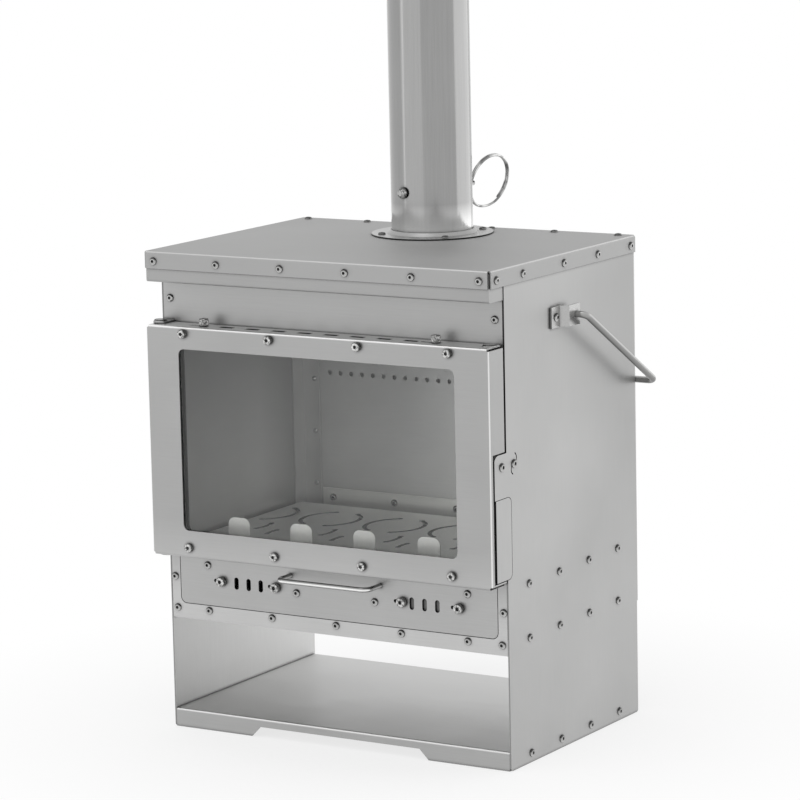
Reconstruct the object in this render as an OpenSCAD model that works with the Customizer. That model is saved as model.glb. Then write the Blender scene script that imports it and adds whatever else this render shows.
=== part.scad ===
// Tent wood stove in folded sheet metal, with a storage bay, an ash drawer, a glazed door,
// a hooded lid, a flue pipe with a damper, and a wire bail.
// Millimetres. +X is the stove's right seen from the front, -Y its front, +Z up.
// Z = 0 is the ground. The origin is the middle of the whole outline, at the ground.

/* [Body] */
// Width over the side panels
body_w = 380; // [350:1:420]
// Depth of the side panels
body_d = 253; // [240:1:270]
// Thickness of the body sheets
sheet = 1.5; // [1:0.1:1.8]
// Outer radius of a folded edge
bend_r = 2.2; // [2:0.1:3]
// Width of the stiffening flanges on the side panels
flange_w = 16; // [13:0.5:18]
// Radius of the side panels' bottom corners
corner_r = 3; // [1:0.5:6]

/* [Storage bay] */
// Height of the base shelf's top
shelf_z = 18.2; // [15:0.1:25]
// Height of the gap under the raised middle of the base shelf
foot_clear = 10; // [5:0.5:12]
// Half width of the raised middle, at the ground
foot_x = 100; // [80:1:130]
// Height of the underside of the drawer bay
bay_z = 110; // [90:1:140]

/* [Ash drawer] */
// Height of the frame strip under the drawer
sill_h = 14.8; // [12:0.1:20]
// Height of the drawer's face
drawer_face_h = 49.3; // [46:0.1:56]
// Distance of the drawer's face from the body's sides
face_side = 12; // [11:0.5:15]
// Gap round the drawer's face
face_gap = 0.7; // [0.5:0.1:1]
// Distance of the ash tray from the side panels
tray_side = 20.5; // [20.5:0.5:28]
// Length of the ash tray
tray_d = 221; // [180:1:223]
// Height of the ash tray's sides
tray_h = 46; // [44:0.5:48]
// Thickness of the ash tray's sheet
tray_sheet = 1.2; // [0.8:0.1:1.4]
// Diameter of the drawer handle's wire
handle_wire = 4.8; // [3:0.1:5]
// Distance between the drawer handle's legs
handle_span = 101; // [80:1:104]
// Reach of the drawer handle in front of the drawer's face
handle_reach = 26.5; // [18:0.5:32]

/* [Air vents] */
// Number of vents on each side of the drawer's face
vent_count = 3; // [2:1:3]
// Distance between neighbouring vents
vent_pitch = 14; // [13:0.5:16]
// Width of a vent
vent_w = 5; // [4:0.1:5.5]
// Height of a vent
vent_h = 12; // [8:0.5:14]
// Distance of each group of vents from the middle
vent_x = 99; // [97:0.5:101]
// Travel of the air shutters
shutter_travel = 8; // [7:0.1:8]
// Thickness of the air shutters
shutter_t = 1.2; // [0.8:0.1:1.4]

/* [Fire door] */
// Gap between the drawer's face and the door
door_lift = 3.2; // [2.8:0.1:4]
// Height of the door
door_h = 225; // [210:1:250]
// Depth of the door's folded pan
door_depth = 26; // [25:0.5:30]
// Width of the border beside the window
window_side = 37; // [34:0.5:45]
// Height of the border under the window
window_bottom = 26.5; // [24:0.5:32]
// Height of the border over the window
window_top = 21.5; // [20:0.5:28]
// Radius of the window's corners
window_r = 6; // [2:0.5:10]
// Thickness of the window glass
glass_t = 4; // [3:0.5:5]
// Cover of the glass behind the border
glass_lap = 7; // [5:0.5:8]
// Thickness of the glass tape
tape_t = 0.5; // [0.3:0.1:1]
// Distance between neighbouring door bolts
bolt_pitch = 98; // [90:1:104]

/* [Airwash] */
// Number of air slots on the door's top edge
slot_count = 8; // [4:1:8]
// Distance between neighbouring air slots
slot_pitch = 29.3; // [28.5:0.1:29.5]
// Length of an air slot
slot_l = 14; // [10:0.5:14]
// Width of an air slot
slot_w = 5; // [2:0.1:6]
// Distance between the two slider studs
stud_span = 258; // [258:0.5:266]
// Offset of the air slots from the middle
airwash_x = -3; // [-5:0.5:0]

/* [Door hinge and pull] */
// Distance of the hinge pin from the door's side
pin_inset = 7.5; // [6.5:0.1:9]
// Distance of the hinge pin from the door's rear edge
pin_back = 11.8; // [9:0.1:12.5]
// Diameter of the hinge pins
pin_d = 5; // [4:0.1:6]
// Clearance of the swinging door from the front
swing_gap = 0.6; // [0.4:0.1:1.5]
// Depth of the flush pull flap
flap_d = 28.5; // [24:0.5:30]
// Height of the flush pull flap
flap_h = 77; // [60:1:84]
// Radius of the pull flap's rear corners
flap_r = 6; // [2:0.5:8]
// Height of the lug above the pull flap
lug_h = 41.5; // [38:0.5:45]

/* [Crown and lid] */
// Height from the door's top to the lid's top
crown_h = 71; // [66:0.5:90]
// Height of the lid's folded edges
lid_edge = 16.7; // [15:0.1:18]
// Height from the hood's underside to the lid's top
hood_drop = 29.8; // [28:0.1:34]
// Overhang of the lid in front of the body
lid_front = 27.3; // [20:0.1:34]

/* [Firebox] */
// Gap between the side panels and the firebox liners
liner_gap = 7; // [5:0.5:10]
// Distance from the back panel to the firebox's back liner
back_duct = 21; // [18:0.5:30]
// Height of the liners above the firebox floor
liner_h = 220; // [205:1:225]
// Number of secondary air holes
air_hole_count = 24; // [8:1:24]
// Diameter of a secondary air hole
air_hole_d = 4.6; // [3:0.1:6]
// Distance between neighbouring secondary air holes
air_hole_pitch = 12.8; // [10:0.1:13]
// Height of the secondary air holes above the firebox floor
air_hole_up = 140; // [100:1:180]
// Height of the fire grate above the firebox floor
grate_up = 7; // [5:0.5:10]
// Thickness of the fire grate
grate_t = 2; // [1.5:0.1:3]
// Width of the grate's curved cuts
grate_cut = 4.4; // [3:0.1:6]
// Number of tabs on the log guard
tab_count = 4; // [2:1:4]
// Width of a log guard tab
tab_w = 24.5; // [18:0.5:30]
// Distance between neighbouring log guard tabs
tab_pitch = 71; // [60:1:76]
// Height of the log guard tabs above the firebox floor
tab_up = 35; // [28:0.5:45]

/* [Flue] */
// Outer diameter of the flue pipe
pipe_d = 80; // [70:1:90]
// Wall thickness of the flue pipe
pipe_wall = 1; // [0.8:0.1:1.5]
// Length of the flue pipe
pipe_l = 304.5; // [200:0.5:500]
// Length of the socket at the pipe's top
socket_l = 45; // [30:1:60]
// Radial clearance of the next pipe in the socket
socket_gap = 0.2; // [0.1:0.05:0.5]
// Distance of the flue's middle from the body's back
flue_back = 60; // [58.5:0.5:71.5]
// Diameter of the collar's flange
collar_d = 119.6; // [116:0.2:122]
// Pitch circle of the collar's screws
collar_pcd = 102; // [99:0.5:104]
// Height of the damper's axle above the lid
damper_up = 43.5; // [42:0.5:60]
// Diameter of the damper's axle
axle_d = 5; // [4:0.1:6]
// Direction of the damper's axle, from straight back towards the right
damper_turn = 11.6; // [0:0.1:20]
// Lean of the damper from fully open
damper_lean = 15; // [0:1:30]
// Diameter of the damper ring, over the middle of its wire
ring_d = 54; // [40:1:56]
// Diameter of the damper ring's wire
ring_wire = 4; // [3:0.1:4]
// Reach of the damper's axle behind the pipe
axle_reach = 17; // [12:0.5:24]

/* [Bail handle] */
// Diameter of the bail's wire
bail_wire = 6.5; // [5:0.1:7]
// Length of the bail's arms
bail_arm = 161; // [155:1:170]
// Distance of the bail's arms from the side panels
bail_out = 20; // [19:0.5:24]
// Height of the bail's pivot above the door's top edge
bail_up = 12.5; // [5:0.5:20]
// Distance of the bail's pivot in front of the body's middle
bail_front = 6; // [2:0.5:12]
// Thickness of the bail's brackets
bracket_t = 2.5; // [1.5:0.1:3]
// Height of the bail's brackets
bracket_h = 20; // [18:0.5:24]

/* [Fasteners] */
// Diameter of the small screws' heads
head_d = 7.4; // [6:0.1:7.6]
// Height of the small screws' heads
head_h = 1.9; // [1.5:0.1:2.2]
// Diameter of the screws' shanks
shank_d = 3; // [2.5:0.1:3.4]
// Length of the short screws under their heads
screw_l = 5; // [4.6:0.1:5.2]
// Distance between neighbouring screws along the front frame
frame_screw_pitch = 72.8; // [60:0.5:74]

/* [Hidden] */
$fn = 64;

// Colours of the finishes
front_steel = [0.66, 0.66, 0.65];
side_steel = [0.72, 0.72, 0.71];
bright_steel = [0.80, 0.80, 0.79];
sooty_steel = [0.36, 0.36, 0.35];
bolt_steel = [0.55, 0.55, 0.54];
glass_grey = [0.62, 0.66, 0.64, 0.35];
tape_white = [0.82, 0.80, 0.74];

// Clearances
cut = 1;  // how far a cutting solid runs past the sheet it cuts
lap = 1;  // how far the shapes of one piece run into each other
side_gap = 0.2;  // between the inner sheets and the side panels
slide_gap = 0.3;  // between pieces that move past each other
run_gap = 0.05;  // radial clearance of a turning pin
tap_gap = 0.05;  // radial clearance of a screw in its hole
lid_gap = 0.1;  // between the lid's edges and the side panels

// Body
half_w = body_w / 2;
front_y = -body_d / 2;
back_y = body_d / 2;
inner_x = half_w - sheet;  // inner face of a side panel
fit_x = inner_x - side_gap;  // half width of the sheets between the side panels
behind_front = front_y + sheet;  // rear face of the front frame
hole_d = shank_d + 2 * tap_gap;
wide_head_d = head_d + 0.6;  // heads of the latch and bracket screws
flange_x = inner_x - flange_w;  // inner edge of the side panels' flanges
drawer_face_w = body_w - 2 * face_side;
tray_w = 2 * (inner_x - tray_side);

// Heights, from the ground up
drawer_z = bay_z + sill_h + face_gap;
drawer_top = drawer_z + drawer_face_h;
door_z = drawer_top + door_lift;
door_top = door_z + door_h;
body_h = door_top + crown_h;
hearth_z = door_z + 2;  // top of the firebox floor
liner_top = hearth_z + liner_h;
lid_under = body_h - sheet;  // underside of the lid's sheet
panel_top = body_h - bend_r - lid_gap;
hood_z = body_h - hood_drop;

// Door
swing_r = sqrt(pin_inset * pin_inset + pin_back * pin_back);
door_gap = swing_r - pin_back + swing_gap;
door_rear = front_y - door_gap;
door_y = door_rear - door_depth;
door_back = door_y + sheet;  // rear face of the door's front sheet
door_mid = door_z + door_h / 2;
pin_x = -half_w + pin_inset;
pin_y = door_rear - pin_back;
pin_hole_d = pin_d + 2 * run_gap;
window_w = body_w - 2 * window_side;
window_h = door_h - window_bottom - window_top;
window_z = door_z + window_bottom + window_h / 2;
glass_y = door_back + tape_t;
clamp_y = glass_y + glass_t;
clamp_top = door_top - 3.6;
clamp_bottom = door_z + 4;
clamp_side = 18;  // cover of the clamp beside the window
bolt_top_z = door_top - 6.5;
bolt_bottom_z = door_z + 10;
bolt_xs = [for (i = [-1.5 : 1 : 1.5]) i * bolt_pitch];
bolt_head_h = 4.5;
nut_flats = 5.5;
nut_h = 2.4;
hinge_head_d = 13;
hinge_head_h = 2;

// Airwash
airwash_y = door_y + 14;
slot_xs = [for (i = [0 : slot_count - 1]) airwash_x + (i - (slot_count - 1) / 2) * slot_pitch];
airwash_travel = slot_pitch / 2;
stud_xs = [airwash_x - stud_span / 2, airwash_x + stud_span / 2];
slider_t = 1.2;
slider_z = door_top - sheet - slide_gap - slider_t;
slider_end = 8;  // how far the slider runs past its studs
knob_d = 9;
knob_h = 7;

// Pull flap
flap_z = door_z + 5;
flap_gap = 0.6;
flap_front = front_y - 20.5;
flap_notch = 4.2;  // depth of the door's edge beside the flap
knuckle_d = 3.8;
pull_pin_d = 2;
pull_x = half_w - 3;
pull_y = flap_front - 1.2;
lug_z = flap_z + flap_h + flap_gap;
lug_top = lug_z + lug_h;
lug_front = front_y - 22.5;
latch_z = lug_top - 12;
latch_front_y = front_y - 8.3;
latch_rear_y = front_y + 14;

// Drawer
tray_z = drawer_z + 0.5;
tray_front = behind_front;
tray_lip = drawer_z + 13.5;  // top of the tray's front wall
shutter_y = behind_front + slide_gap;
shutter_z = drawer_z + 16;
shutter_h = 18.5;
vent_z = drawer_z + 24.5;
stud_z = vent_z + 0.8;
vent_xs = [for (i = [0 : vent_count - 1]) (i - (vent_count - 1) / 2) * vent_pitch];
guide_outer_x = vent_x + 34.4;
guide_inner_x = vent_x - 28;
vent_knob_d = 9.5;
vent_knob_h = 5;
guide_w = shank_d + 0.5;
handle_z = drawer_z + 38.5;
handle_bend = 8;
tray_tab_x = 44;
tray_tab_z = vent_z - 2.5;
ear_x = tray_w / 2 - 22;
ear_z = drawer_z + 39.8;

// Firebox
liner_x = inner_x - liner_gap - sheet;
back_liner_y = back_y - back_duct;
firebox_front = behind_front + sheet;
grate_z = hearth_z + grate_up;
grate_w = 2 * (liner_x - 5);
grate_front = firebox_front + 12;
grate_back = back_liner_y - 17;
fire_opening_side = 24;
fire_opening_z = door_z + 18;
fire_opening_top = door_top - 13;
post_w = 20;
post_t = 1.2;
post_drop = 60;
post_top = liner_top - post_drop;
band_top = hearth_z + 21;
band_z = hearth_z + 11.5;
rivet_pitch = 54;
rivet_zs = [for (i = [0 : 2]) band_top + 4 + i * rivet_pitch];
rivet_in = 14.5;
rivet_x = liner_x - rivet_in;
smoke_gap = 66;  // from the front to the baffle
baffle_front = front_y + smoke_gap;
band_screw_in = 14.4;
band_screw_x = liner_x - post_w - band_screw_in;
band_screw_xs = [for (i = [-2 : 2]) i * band_screw_x / 2];

// Lid and flue
lid_x = half_w + lid_gap + sheet;
lid_y = front_y - lid_front;
lid_back = back_y + sheet;
collar_t = 1.5;
pipe_r = pipe_d / 2;
pipe_ri = pipe_r - pipe_wall;
spigot_r = pipe_ri - run_gap;
spigot_wall = 1.2;
spigot_l = 30;
pipe_z = body_h + collar_t;
pipe_top = pipe_z + pipe_l;
pipe_y = back_y - flue_back;
axle_z = body_h + damper_up;
damper_r = spigot_r - spigot_wall - 0.75;
damper_t = 1.5;
axle_end = pipe_r + axle_reach;
ring_r = ring_d / 2;
axle_front = pipe_r + 5.6;
axle_nut_d = 11;
axle_nut_h = 4.6;

// Bail
bail_r = bail_wire / 2;
bail_x = half_w + bail_out;
bail_y = -bail_front;
bail_z = door_top + bail_up;
bail_rest_y = lid_back + slide_gap + bail_r;
bail_angle = acos((bail_rest_y - bail_y) / bail_arm);
bail_bend = 8;
pivot_bend = bail_r + 3;  // bend of the wire beside the bracket
bracket_out = 10;  // outer face of the bracket's outer tab
bracket_screw_y = bail_y - 26.5;

// Screw rows
side_screw_ys = [for (i = [-1.5 : 1 : 1.5]) i * body_d * 0.23];
bay_screw_z = bay_z + 10;
shelf_screw_z = shelf_z / 2;
hearth_screw_z = hearth_z - 8;
side_screw_zs = [shelf_screw_z, bay_screw_z, hearth_screw_z];
frame_screw_xs = [for (i = [-2 : 2]) i * frame_screw_pitch];
face_screw_z = bay_z + 41;  // screws beside the drawer's face
crown_screw_z = door_top + 22.6;  // screws over the door
frame_corner_xz = [[half_w - 7.4, bay_screw_z], [half_w - 5.4, face_screw_z], [half_w - 9.5, crown_screw_z]];
lid_screw_z = body_h - 9.5;
lid_front_xs = [for (i = [-2.5 : 2.5]) i * (half_w - 10) / 2.5];
lid_rear_y = back_y - 8;
lid_rear_end = half_w - 12;
// the row's inner pair stands clear of the flue's collar
collar_clear = (collar_d + head_d) / 2 + 0.3;
lid_rear_in = max(lid_rear_end / 5, sqrt(max(0, pow(collar_clear, 2) - pow(lid_rear_y - pipe_y, 2))));
lid_rear_xs = [for (side = [-1, 1], i = [0 : 2]) side * (lid_rear_in + i * (lid_rear_end - lid_rear_in) / 2)];
lid_side_pitch = 66.5;
lid_side_ys = [lid_y + 12, front_y + 34, for (i = [2 : -1 : 0]) lid_rear_y - i * lid_side_pitch];
back_screw_x = half_w - 8;
back_screw_low = bay_z + 12;
back_screw_high = door_top + 20;
back_screw_pitch = 75;
back_screw_zs = [back_screw_low, for (i = [0, 1]) hearth_z + 20 + i * back_screw_pitch, back_screw_high];
collar_holes = [for (a = [45 : 90 : 315]) [cos(a), sin(a)] * collar_pcd / 2];

// The outline's reach in front and behind, which sets the origin
front_reach = -door_y + bolt_head_h;
ring_spread = ring_r * sqrt(1 - pow(sin(damper_turn) * cos(damper_lean), 2)) + ring_wire / 2;
back_reach = pipe_y + (axle_end + ring_r) * cos(damper_turn) + ring_spread;
origin_y = (front_reach - back_reach) / 2;

// ---- helpers ----

// Puts a piece in the part's frame
module placed() {
    translate([0, origin_y, 0])
        children();
}

module mirrored_x() {
    children();
    mirror([1, 0, 0])
        children();
}

// Flat sheet facing the front, from y to y + t
module front_sheet(y, t = sheet) {
    translate([0, y + t, 0])
        rotate([90, 0, 0])
            linear_extrude(t)
                children();
}

// Flat sheet facing the side, from x to x + t; the outline's x runs along Y
module side_sheet(x, t = sheet) {
    translate([x, 0, 0])
        rotate([90, 0, 90])
            linear_extrude(t)
                children();
}

// Flat sheet facing up, from z to z + t
module level_sheet(z, t = sheet) {
    translate([0, 0, z])
        linear_extrude(t)
            children();
}

// Rectangle between two corners
module span(x0, x1, y0, y1) {
    translate([min(x0, x1), min(y0, y1)])
        square([abs(x1 - x0), abs(y1 - y0)]);
}

module rounded_rect(w, h, r) {
    square([w - 2 * r, h], center = true);
    square([w, h - 2 * r], center = true);
    for (x = [-1, 1], y = [-1, 1])
        translate([x * (w / 2 - r), y * (h / 2 - r)])
            circle(r);
}

// Slot with round ends, centred, its length along X
module slot(length, width) {
    square([length - width, width], center = true);
    for (x = [-1, 1])
        translate([x * (length - width) / 2, 0])
            circle(d = width);
}

// Part of a ring from angle a0 to a1 (under 180 degrees apart), with round ends
module arc_slot(r, a0, a1, width, end_d) {
    far = 3 * r;
    intersection() {
        difference() {
            circle(r + width / 2);
            circle(r - width / 2);
        }
        polygon([[0, 0], far * [cos(a0), sin(a0)], far * [cos((a0 + a1) / 2), sin((a0 + a1) / 2)],
            far * [cos(a1), sin(a1)]]);
    }
    for (a = [a0, a1])
        translate(r * [cos(a), sin(a)])
            circle(d = end_d);
}

// Folded edge along X: the sheet's top is at z = 0, the fold's outer face at y = 0
module fold(length, depth) {
    rotate([90, 0, 90])
        translate([0, 0, -length / 2])
            linear_extrude(length) {
                translate([-bend_r, -bend_r])
                    intersection() {
                        difference() {
                            circle(bend_r);
                            circle(bend_r - sheet);
                        }
                        square(bend_r + cut);
                    }
                translate([-sheet, -depth])
                    square([sheet, depth - bend_r]);
                translate([-bend_r - lap, -sheet])
                    square([lap, sheet]);
            }
}

// Screw standing on z = 0, its shank downwards
module screw(length, d = head_d) {
    difference() {
        union() {
            cylinder(h = head_h * 0.5, d = d);
            translate([0, 0, head_h * 0.5])
                cylinder(h = head_h * 0.5, d1 = d, d2 = d * 0.72);
        }
        translate([0, 0, head_h * 0.4])
            cylinder(h = head_h, d = d * 0.4, $fn = 6);
    }
    translate([0, 0, -length])
        cylinder(h = length, d = shank_d);
}

// Cap bolt with a straight head
module cap_bolt(length, d, h) {
    difference() {
        union() {
            cylinder(h = h - 0.5, d = d);
            translate([0, 0, h - 0.5])
                cylinder(h = 0.5, d1 = d, d2 = d - 1);
        }
        translate([0, 0, h * 0.45])
            cylinder(h = h, d = d * 0.45, $fn = 6);
    }
    translate([0, 0, -length])
        cylinder(h = length, d = shank_d);
}

module hex_nut() {
    difference() {
        cylinder(h = nut_h, d = nut_flats / cos(30), $fn = 6);
        translate([0, 0, -cut])
            cylinder(h = nut_h + 2 * cut, d = hole_d);
    }
}

// Turns a piece so that it stands on a face instead of z = 0
module on_front(x, y, z) {
    translate([x, y, z])
        rotate([90, 0, 0])
            children();
}

module on_back(x, y, z) {
    translate([x, y, z])
        rotate([-90, 0, 0])
            children();
}

module on_side(side, x, y, z) {
    translate([side * x, y, z])
        rotate([0, side * 90, 0])
            children();
}

// Drill through a front sheet, a side sheet or a level sheet
module drill_front(x, z, y, d = hole_d, depth = 2 * sheet) {
    translate([x, y - cut, z])
        rotate([-90, 0, 0])
            cylinder(h = depth + 2 * cut, d = d);
}

module drill_side(side, y, z, x, d = hole_d, depth = 2 * sheet) {
    translate([side * (x + cut), y, z])
        rotate([0, -side * 90, 0])
            cylinder(h = depth + 2 * cut, d = d);
}

module drill_up(x, y, z, d = hole_d, depth = 2 * sheet) {
    translate([x, y, z - cut])
        cylinder(h = depth + 2 * cut, d = d);
}

module bar_x(length, d) {
    rotate([0, 90, 0])
        cylinder(h = length, d = d, center = true);
}

// Quarter turn of wire from +X to +Y, starting at the origin
module elbow(bend, d) {
    translate([0, bend, 0])
        rotate([0, 0, -90])
            rotate_extrude(angle = 90)
                translate([bend, 0])
                    circle(d = d);
}

// ---- body ----

module side_panel(side) {
    difference() {
        union() {
            side_sheet(side > 0 ? inner_x : -half_w)
                difference() {
                    union() {
                        span(front_y, back_y, corner_r, panel_top);
                        span(front_y + corner_r, back_y - corner_r, 0, corner_r);
                        for (y = [front_y + corner_r, back_y - corner_r])
                            translate([y, corner_r])
                                circle(corner_r);
                        if (side > 0)
                            latch_lug();
                    }
                    if (side > 0)
                        flap_recess();
                }
            // front and rear flanges
            front_sheet(behind_front + slide_gap)
                span(side * inner_x, side * flange_x, bay_z + sheet + 0.5, hood_z - 4);
            front_sheet(back_y - sheet)
                span(side * inner_x, side * flange_x, bay_z + sheet + 0.5, panel_top - 3);
        }
        for (y = side_screw_ys, z = side_screw_zs)
            drill_side(side, y, z, half_w);
        for (i = [1 : 4])
            drill_side(side, lid_side_ys[i], lid_screw_z, half_w);
        drill_side(side, bracket_screw_y, bail_z, half_w);
        for (p = frame_corner_xz)
            drill_front(side * p[0], p[1], front_y);
        for (z = back_screw_zs)
            drill_front(side * back_screw_x, z, back_y - sheet);
        if (side > 0)
            for (y = [latch_front_y, latch_rear_y])
                drill_side(side, y, latch_z, half_w);
    }
}

// Outline of the lug in front of the right side panel, in (y, z)
module latch_lug() {
    r = 8;
    span(lug_front, front_y + cut, lug_z, lug_top - r);
    span(lug_front + r, front_y + cut, lug_z, lug_top);
    translate([lug_front + r, lug_top - r])
        circle(r);
}

// Recess for the pull flap and the relief cut round the rear latch screw, in (y, z)
module flap_recess() {
    rear = flap_front + flap_d + flap_gap;
    r = flap_r + flap_gap;
    span(front_y - cut, rear - r, flap_z - flap_gap, lug_z);
    span(front_y - cut, rear, flap_z - flap_gap + r, lug_z - r);
    for (z = [flap_z - flap_gap + r, lug_z - r])
        translate([rear - r, z])
            circle(r);
    relief_r = 5;
    relief_w = 1.3;
    relief_start = 12;  // angle from the screw's middle to the start of each arc
    translate([latch_rear_y, latch_z])
        for (turn = [0, 180])
            rotate(turn)
                translate([0, relief_r])
                    arc_slot(relief_r, relief_start - 90, 60, relief_w, relief_w + 0.3);
}

module left_side_panel() {
    color(side_steel)
        placed()
            side_panel(-1);
}

module right_side_panel() {
    color(side_steel)
        placed()
            side_panel(1);
}

module base_shelf() {
    rear = back_y - 2.5;
    color(front_steel)
        placed()
            difference() {
                union() {
                    level_sheet(shelf_z - sheet)
                        span(-fit_x, fit_x, front_y + bend_r, rear);
                    translate([0, front_y, shelf_z])
                        rotate([0, 0, 180])
                            fold(2 * fit_x, shelf_z);
                    mirrored_x()
                        side_sheet(fit_x - sheet)
                            span(front_y + 8, back_y - 8, 2, shelf_z - sheet);
                    front_sheet(rear - sheet)
                        span(-foot_x, foot_x, foot_clear, shelf_z - sheet);
                }
                front_sheet(front_y - cut, sheet + bend_r + 2 * cut)
                    polygon([[-foot_x, -cut], [-foot_x, 0], [-foot_x + foot_clear, foot_clear],
                        [foot_x - foot_clear, foot_clear], [foot_x, 0], [foot_x, -cut]]);
                for (side = [-1, 1], y = side_screw_ys)
                    drill_side(side, y, shelf_screw_z, half_w, depth = 3 * sheet);
            }
}

module drawer_bay_floor() {
    wall_h = 20;
    wall_top = bay_z + wall_h;
    color(side_steel)
        placed()
            difference() {
                union() {
                    level_sheet(bay_z)
                        span(-fit_x, fit_x, behind_front, back_y);
                    mirrored_x()
                        side_sheet(fit_x - sheet)
                            span(front_y + 8, back_y - 8, bay_z, wall_top);
                    front_sheet(behind_front)
                        span(-flange_x + 2, flange_x - 2, bay_z, bay_z + sill_h - 0.3);
                    front_sheet(back_y - sheet)
                        span(-flange_x + 2, flange_x - 2, bay_z, wall_top);
                }
                for (side = [-1, 1], y = side_screw_ys)
                    drill_side(side, y, bay_screw_z, half_w, depth = 3 * sheet);
                for (x = frame_screw_xs)
                    drill_front(x, bay_screw_z, front_y);
            }
}

// Two angles that carry the ash tray and guide its sides
module drawer_runners() {
    guide_x = tray_w / 2 + 1.2;
    rail_top = tray_z - slide_gap;
    color(side_steel)
        placed()
            mirrored_x() {
                side_sheet(guide_x)
                    span(behind_front + 4, back_y - 20, bay_z + sheet, rail_top + 12);
                level_sheet(rail_top - sheet)
                    span(guide_x - 22, guide_x, behind_front + 4, back_y - 20);
            }
}

module front_frame() {
    color(front_steel)
        placed()
            difference() {
                front_sheet(front_y)
                    difference() {
                        span(-fit_x, fit_x, bay_z, panel_top);
                        // drawer opening
                        w = drawer_face_w + 2 * face_gap;
                        h = drawer_face_h + 2 * face_gap;
                        r = 6 + face_gap;
                        translate([0, drawer_z - face_gap]) {
                            span(-w / 2, w / 2, r, h);
                            span(-w / 2 + r, w / 2 - r, 0, r);
                            for (x = [-1, 1])
                                translate([x * (w / 2 - r), r])
                                    circle(r);
                        }
                        // fire opening
                        translate([0, (fire_opening_z + fire_opening_top) / 2])
                            rounded_rect(body_w - 2 * fire_opening_side, fire_opening_top - fire_opening_z, 8);
                    }
                for (x = frame_screw_xs)
                    drill_front(x, bay_screw_z, front_y);
                for (side = [-1, 1], p = frame_corner_xz)
                    drill_front(side * p[0], p[1], front_y);
            }
}

module back_panel() {
    color(side_steel)
        placed()
            difference() {
                union() {
                    front_sheet(back_y)
                        span(-half_w, half_w, bay_z + 2, panel_top);
                    level_sheet(lid_under - sheet)
                        span(-half_w + 4, half_w - 4, back_y - 16, back_y);
                    front_sheet(back_y)
                        span(-half_w + 4, half_w - 4, panel_top - cut, lid_under);
                }
                for (x = lid_rear_xs)
                    drill_up(x, lid_rear_y, lid_under - sheet);
                for (side = [-1, 1], z = back_screw_zs)
                    drill_front(side * back_screw_x, z, back_y);
            }
}

// ---- lid ----

module lid() {
    corner = bend_r + 0.5;
    color(side_steel)
        placed()
            difference() {
                union() {
                    level_sheet(lid_under)
                        span(-lid_x + bend_r, lid_x - bend_r, lid_y + bend_r, lid_back);
                    translate([0, lid_y, body_h])
                        rotate([0, 0, 180])
                            fold(2 * (lid_x - corner), lid_edge);
                    for (side = [-1, 1])
                        translate([side * lid_x, (lid_y + corner + lid_back) / 2, body_h])
                            rotate([0, 0, -side * 90])
                                fold(lid_back - lid_y - corner, lid_edge);
                }
                drill_up(0, pipe_y, lid_under, d = 2 * pipe_ri);
                for (p = collar_holes)
                    drill_up(p[0], pipe_y + p[1], lid_under);
                for (x = lid_rear_xs)
                    drill_up(x, lid_rear_y, lid_under);
                for (x = lid_front_xs)
                    drill_front(x, lid_screw_z, lid_y);
                for (side = [-1, 1], y = lid_side_ys)
                    drill_side(side, y, lid_screw_z, lid_x);
            }
}

// Strip under the lid's front edge, open at the top
module hood_tray() {
    wall_y = lid_y + sheet;
    end_x = half_w - 0.5;
    top = lid_under - 1;
    color(front_steel)
        placed()
            difference() {
                union() {
                    front_sheet(wall_y)
                        span(-end_x, end_x, hood_z + bend_r, top);
                    translate([0, wall_y, hood_z])
                        rotate([180, 0, 0])
                            fold(2 * end_x, bend_r + cut);
                    level_sheet(hood_z)
                        span(-end_x, end_x, wall_y + bend_r, front_y);
                    front_sheet(front_y - sheet)
                        span(-end_x, end_x, hood_z, hood_z + 16);
                    mirrored_x()
                        side_sheet(end_x - sheet)
                            span(wall_y + sheet, front_y - sheet, hood_z + sheet, top);
                }
                for (x = lid_front_xs)
                    drill_front(x, lid_screw_z, lid_y);
                for (side = [-1, 1])
                    drill_side(side, lid_side_ys[0], lid_screw_z, half_w);
            }
}

// ---- firebox ----

module firebox_floor() {
    wall_bottom = hearth_screw_z - 8;
    color(sooty_steel)
        placed()
            difference() {
                union() {
                    level_sheet(hearth_z - sheet)
                        difference() {
                            span(-fit_x, fit_x, firebox_front + 0.5, back_liner_y);
                            span(-grate_w / 2 + 12, grate_w / 2 - 12, grate_front + 12, grate_back - 12);
                        }
                    mirrored_x()
                        side_sheet(fit_x - sheet)
                            span(front_y + 8, back_liner_y, wall_bottom, hearth_z - sheet);
                    level_sheet(hearth_z - sheet)
                        span(-flange_x + 4, flange_x - 4, behind_front, firebox_front + 0.5 + lap);
                    front_sheet(behind_front)
                        span(-flange_x + 4, flange_x - 4, hearth_z - sheet, hearth_z + 12);
                    front_sheet(back_liner_y - sheet)
                        span(-liner_x + post_w + 2, liner_x - post_w - 2, hearth_z - sheet, band_top);
                }
                for (side = [-1, 1], y = side_screw_ys)
                    drill_side(side, y, hearth_screw_z, half_w, depth = 3 * sheet);
                for (x = band_screw_xs)
                    drill_front(x, band_z, back_liner_y - sheet);
            }
}

// Bowed cut at x that bulges to side -1 or 1; back_in is counted from the grate's rear edge
module grate_bow(side, x, back_in, half_a) {
    r = 37;
    translate([x - side * r, grate_back - back_in])
        mirror([side > 0 ? 0 : 1, 0])
            arc_slot(r, -half_a, half_a, grate_cut, grate_cut + 1.6);
}

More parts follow.
